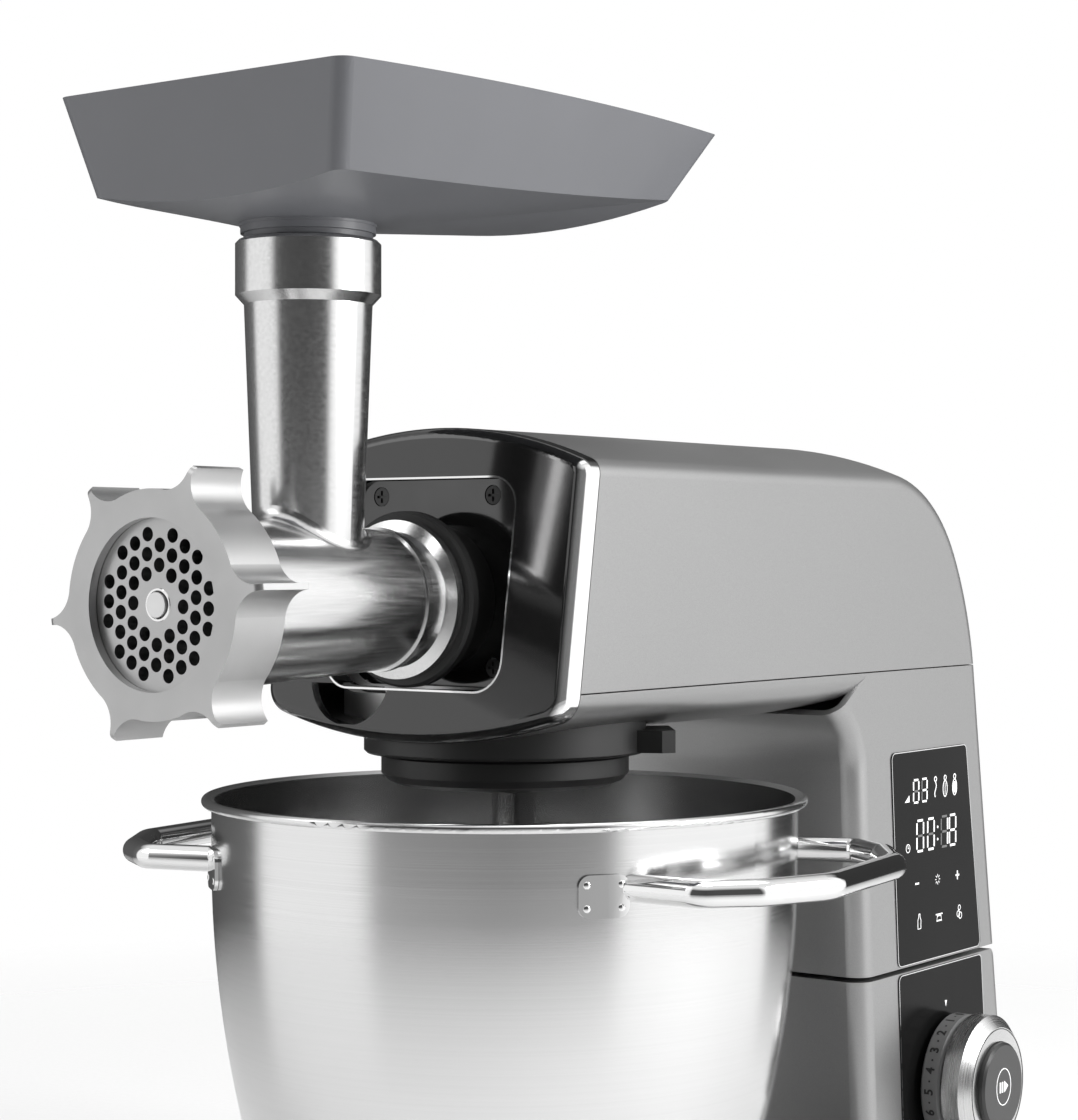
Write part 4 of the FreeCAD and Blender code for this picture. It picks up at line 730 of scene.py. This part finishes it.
def studio():
    """White paper floor and the camera; the soft two-sided studio comes from world() and lights()."""
    floor = Build()
    steps, reach = 64, 1.4
    rings = [0.3, 0.7, reach]
    points, faces = [Vector((0, 0, 0))], []
    for ring in rings:
        points += [Vector((ring * math.cos(2 * math.pi * step / steps),
                           ring * math.sin(2 * math.pi * step / steps), 0)) for step in range(steps)]
    for step in range(steps):
        follow = (step + 1) % steps
        faces.append((0, 1 + step, 1 + follow))
        for index in range(len(rings) - 1):
            here, there = 1 + index * steps, 1 + (index + 1) * steps
            faces.append((here + step, there + step, there + follow, here + follow))
    mesh = bpy.data.meshes.new("paper_floor")
    mesh.from_pydata([tuple(point) for point in points], [], faces)
    mesh.materials.append(pale_floor("paper_floor_look", *FLOOR_FADE))
    sheet = bpy.data.objects.new("paper_floor", mesh)
    bpy.context.scene.collection.objects.link(sheet)

    camera = bpy.data.cameras.new("camera")
    camera.lens = CAMERA_LENS
    camera.sensor_width = 36.0
    holder = bpy.data.objects.new("camera", camera)
    holder.location = CAMERA_AT
    holder.rotation_euler = [math.radians(turn) for turn in CAMERA_TURN]
    bpy.context.scene.collection.objects.link(holder)
    bpy.context.scene.camera = holder
    bpy.context.scene.view_settings.view_transform = "Standard"


def area_light(name, at, aim, wide, tall, watts):
    light = bpy.data.lights.new(name, "AREA")
    light.shape = "RECTANGLE"
    light.size, light.size_y = wide, tall
    light.energy = watts
    holder = bpy.data.objects.new(name, light)
    holder.location = at
    holder.rotation_euler = (Vector(aim) - Vector(at)).to_track_quat("-Z", "Y").to_euler()
    bpy.context.scene.collection.objects.link(holder)


def world():
    """White softboxes on both sides with dark gaps between; seen directly, white."""
    surround = bpy.data.worlds.new("studio")
    surround.use_nodes = True
    bpy.context.scene.world = surround
    tree = surround.node_tree
    background = tree.nodes["Background"]
    add = tree.nodes.new

    def link(source, node, socket):
        tree.links.new(source, node.inputs[socket])

    where = add("ShaderNodeTexCoord")
    split = add("ShaderNodeSeparateXYZ")
    link(where.outputs["Generated"], split, 0)
    azimuth = add("ShaderNodeMath")
    azimuth.operation = "ARCTAN2"
    link(split.outputs["Y"], azimuth, 0)
    link(split.outputs["X"], azimuth, 1)
    # turn so that -1 to 1 runs once round, starting behind the object
    toward = math.radians(-53.7)
    shift = add("ShaderNodeMath")
    shift.operation = "SUBTRACT"
    link(azimuth.outputs[0], shift, 0)
    shift.inputs[1].default_value = toward
    wrap = add("ShaderNodeMath")
    wrap.operation = "WRAP"
    link(shift.outputs[0], wrap, 0)
    wrap.inputs[1].default_value = math.pi
    wrap.inputs[2].default_value = -math.pi
    ranged = add("ShaderNodeMapRange")
    ranged.inputs["From Min"].default_value = -math.pi
    ranged.inputs["From Max"].default_value = math.pi
    link(wrap.outputs[0], ranged, "Value")

    def bands(centre):
        """Ramp round the studio in degrees from the camera; centre is the tone behind the camera."""
        stops = [(-180, 0.05), (-112, 0.16), (-104, 1.1), (-56, 1.1), (-48, centre), (0, centre * 0.8),
                 (40, centre), (49, 1.25), (120, 1.25), (126, 0.04), (180, 0.05)]
        node = add("ShaderNodeValToRGB")
        ramp = node.color_ramp
        ramp.elements[0].position = 0.0
        ramp.elements[1].position = 1.0
        for degrees, value in stops[1:-1]:
            ramp.elements.new((degrees + 180) / 360)
        for element, (degrees, value) in zip(ramp.elements, stops):
            element.color = (value, value, value, 1)
        link(ranged.outputs["Result"], node, "Fac")
        return node.outputs["Color"]

    # the middle is dark above the horizon and mid-grey below it
    level = add("ShaderNodeMapRange")
    level.inputs["From Min"].default_value = -0.11
    level.inputs["From Max"].default_value = -0.07
    link(split.outputs["Z"], level, "Value")
    layers = add("ShaderNodeMix")
    layers.data_type = "RGBA"
    link(level.outputs["Result"], layers, 0)
    link(bands(0.46), layers, 6)
    link(bands(0.09), layers, 7)
    # overhead softbox and a darker lower half
    height = add("ShaderNodeMapRange")
    height.inputs["From Min"].default_value = 0.55
    height.inputs["From Max"].default_value = 0.8
    link(split.outputs["Z"], height, "Value")
    over = add("ShaderNodeMix")
    over.data_type = "RGBA"
    over.inputs[7].default_value = (0.95, 0.95, 0.95, 1)
    link(height.outputs["Result"], over, 0)
    link(layers.outputs[2], over, 6)
    path = add("ShaderNodeLightPath")
    seen = add("ShaderNodeMix")
    seen.data_type = "RGBA"
    seen.inputs[7].default_value = (1, 1, 1, 1)
    link(path.outputs["Is Camera Ray"], seen, 0)
    link(over.outputs[2], seen, 6)
    link(seen.outputs[2], background, "Color")


def lights():
    area_light("key_softbox", (-0.9, -1.2, 1.3), (0, -0.1, 0.25), 0.9, 0.9, 2.5)
    area_light("side_softbox", (1.5, 0.5, 0.9), (0, 0, 0.2), 0.8, 1.0, 20)
    area_light("top_softbox", (0.0, 0.1, 1.6), (0, 0, 0.3), 1.2, 1.2, 8)


# ---------------------------------------------------------------- put it together

paint_nodes()
display(DISPLAY_CENTRE, DISPLAY_TOP)
panel_marks()
glass_edges()
dial_details()
weld_spots()
hub_rim()
pin_ring()
studio()
world()
lights()
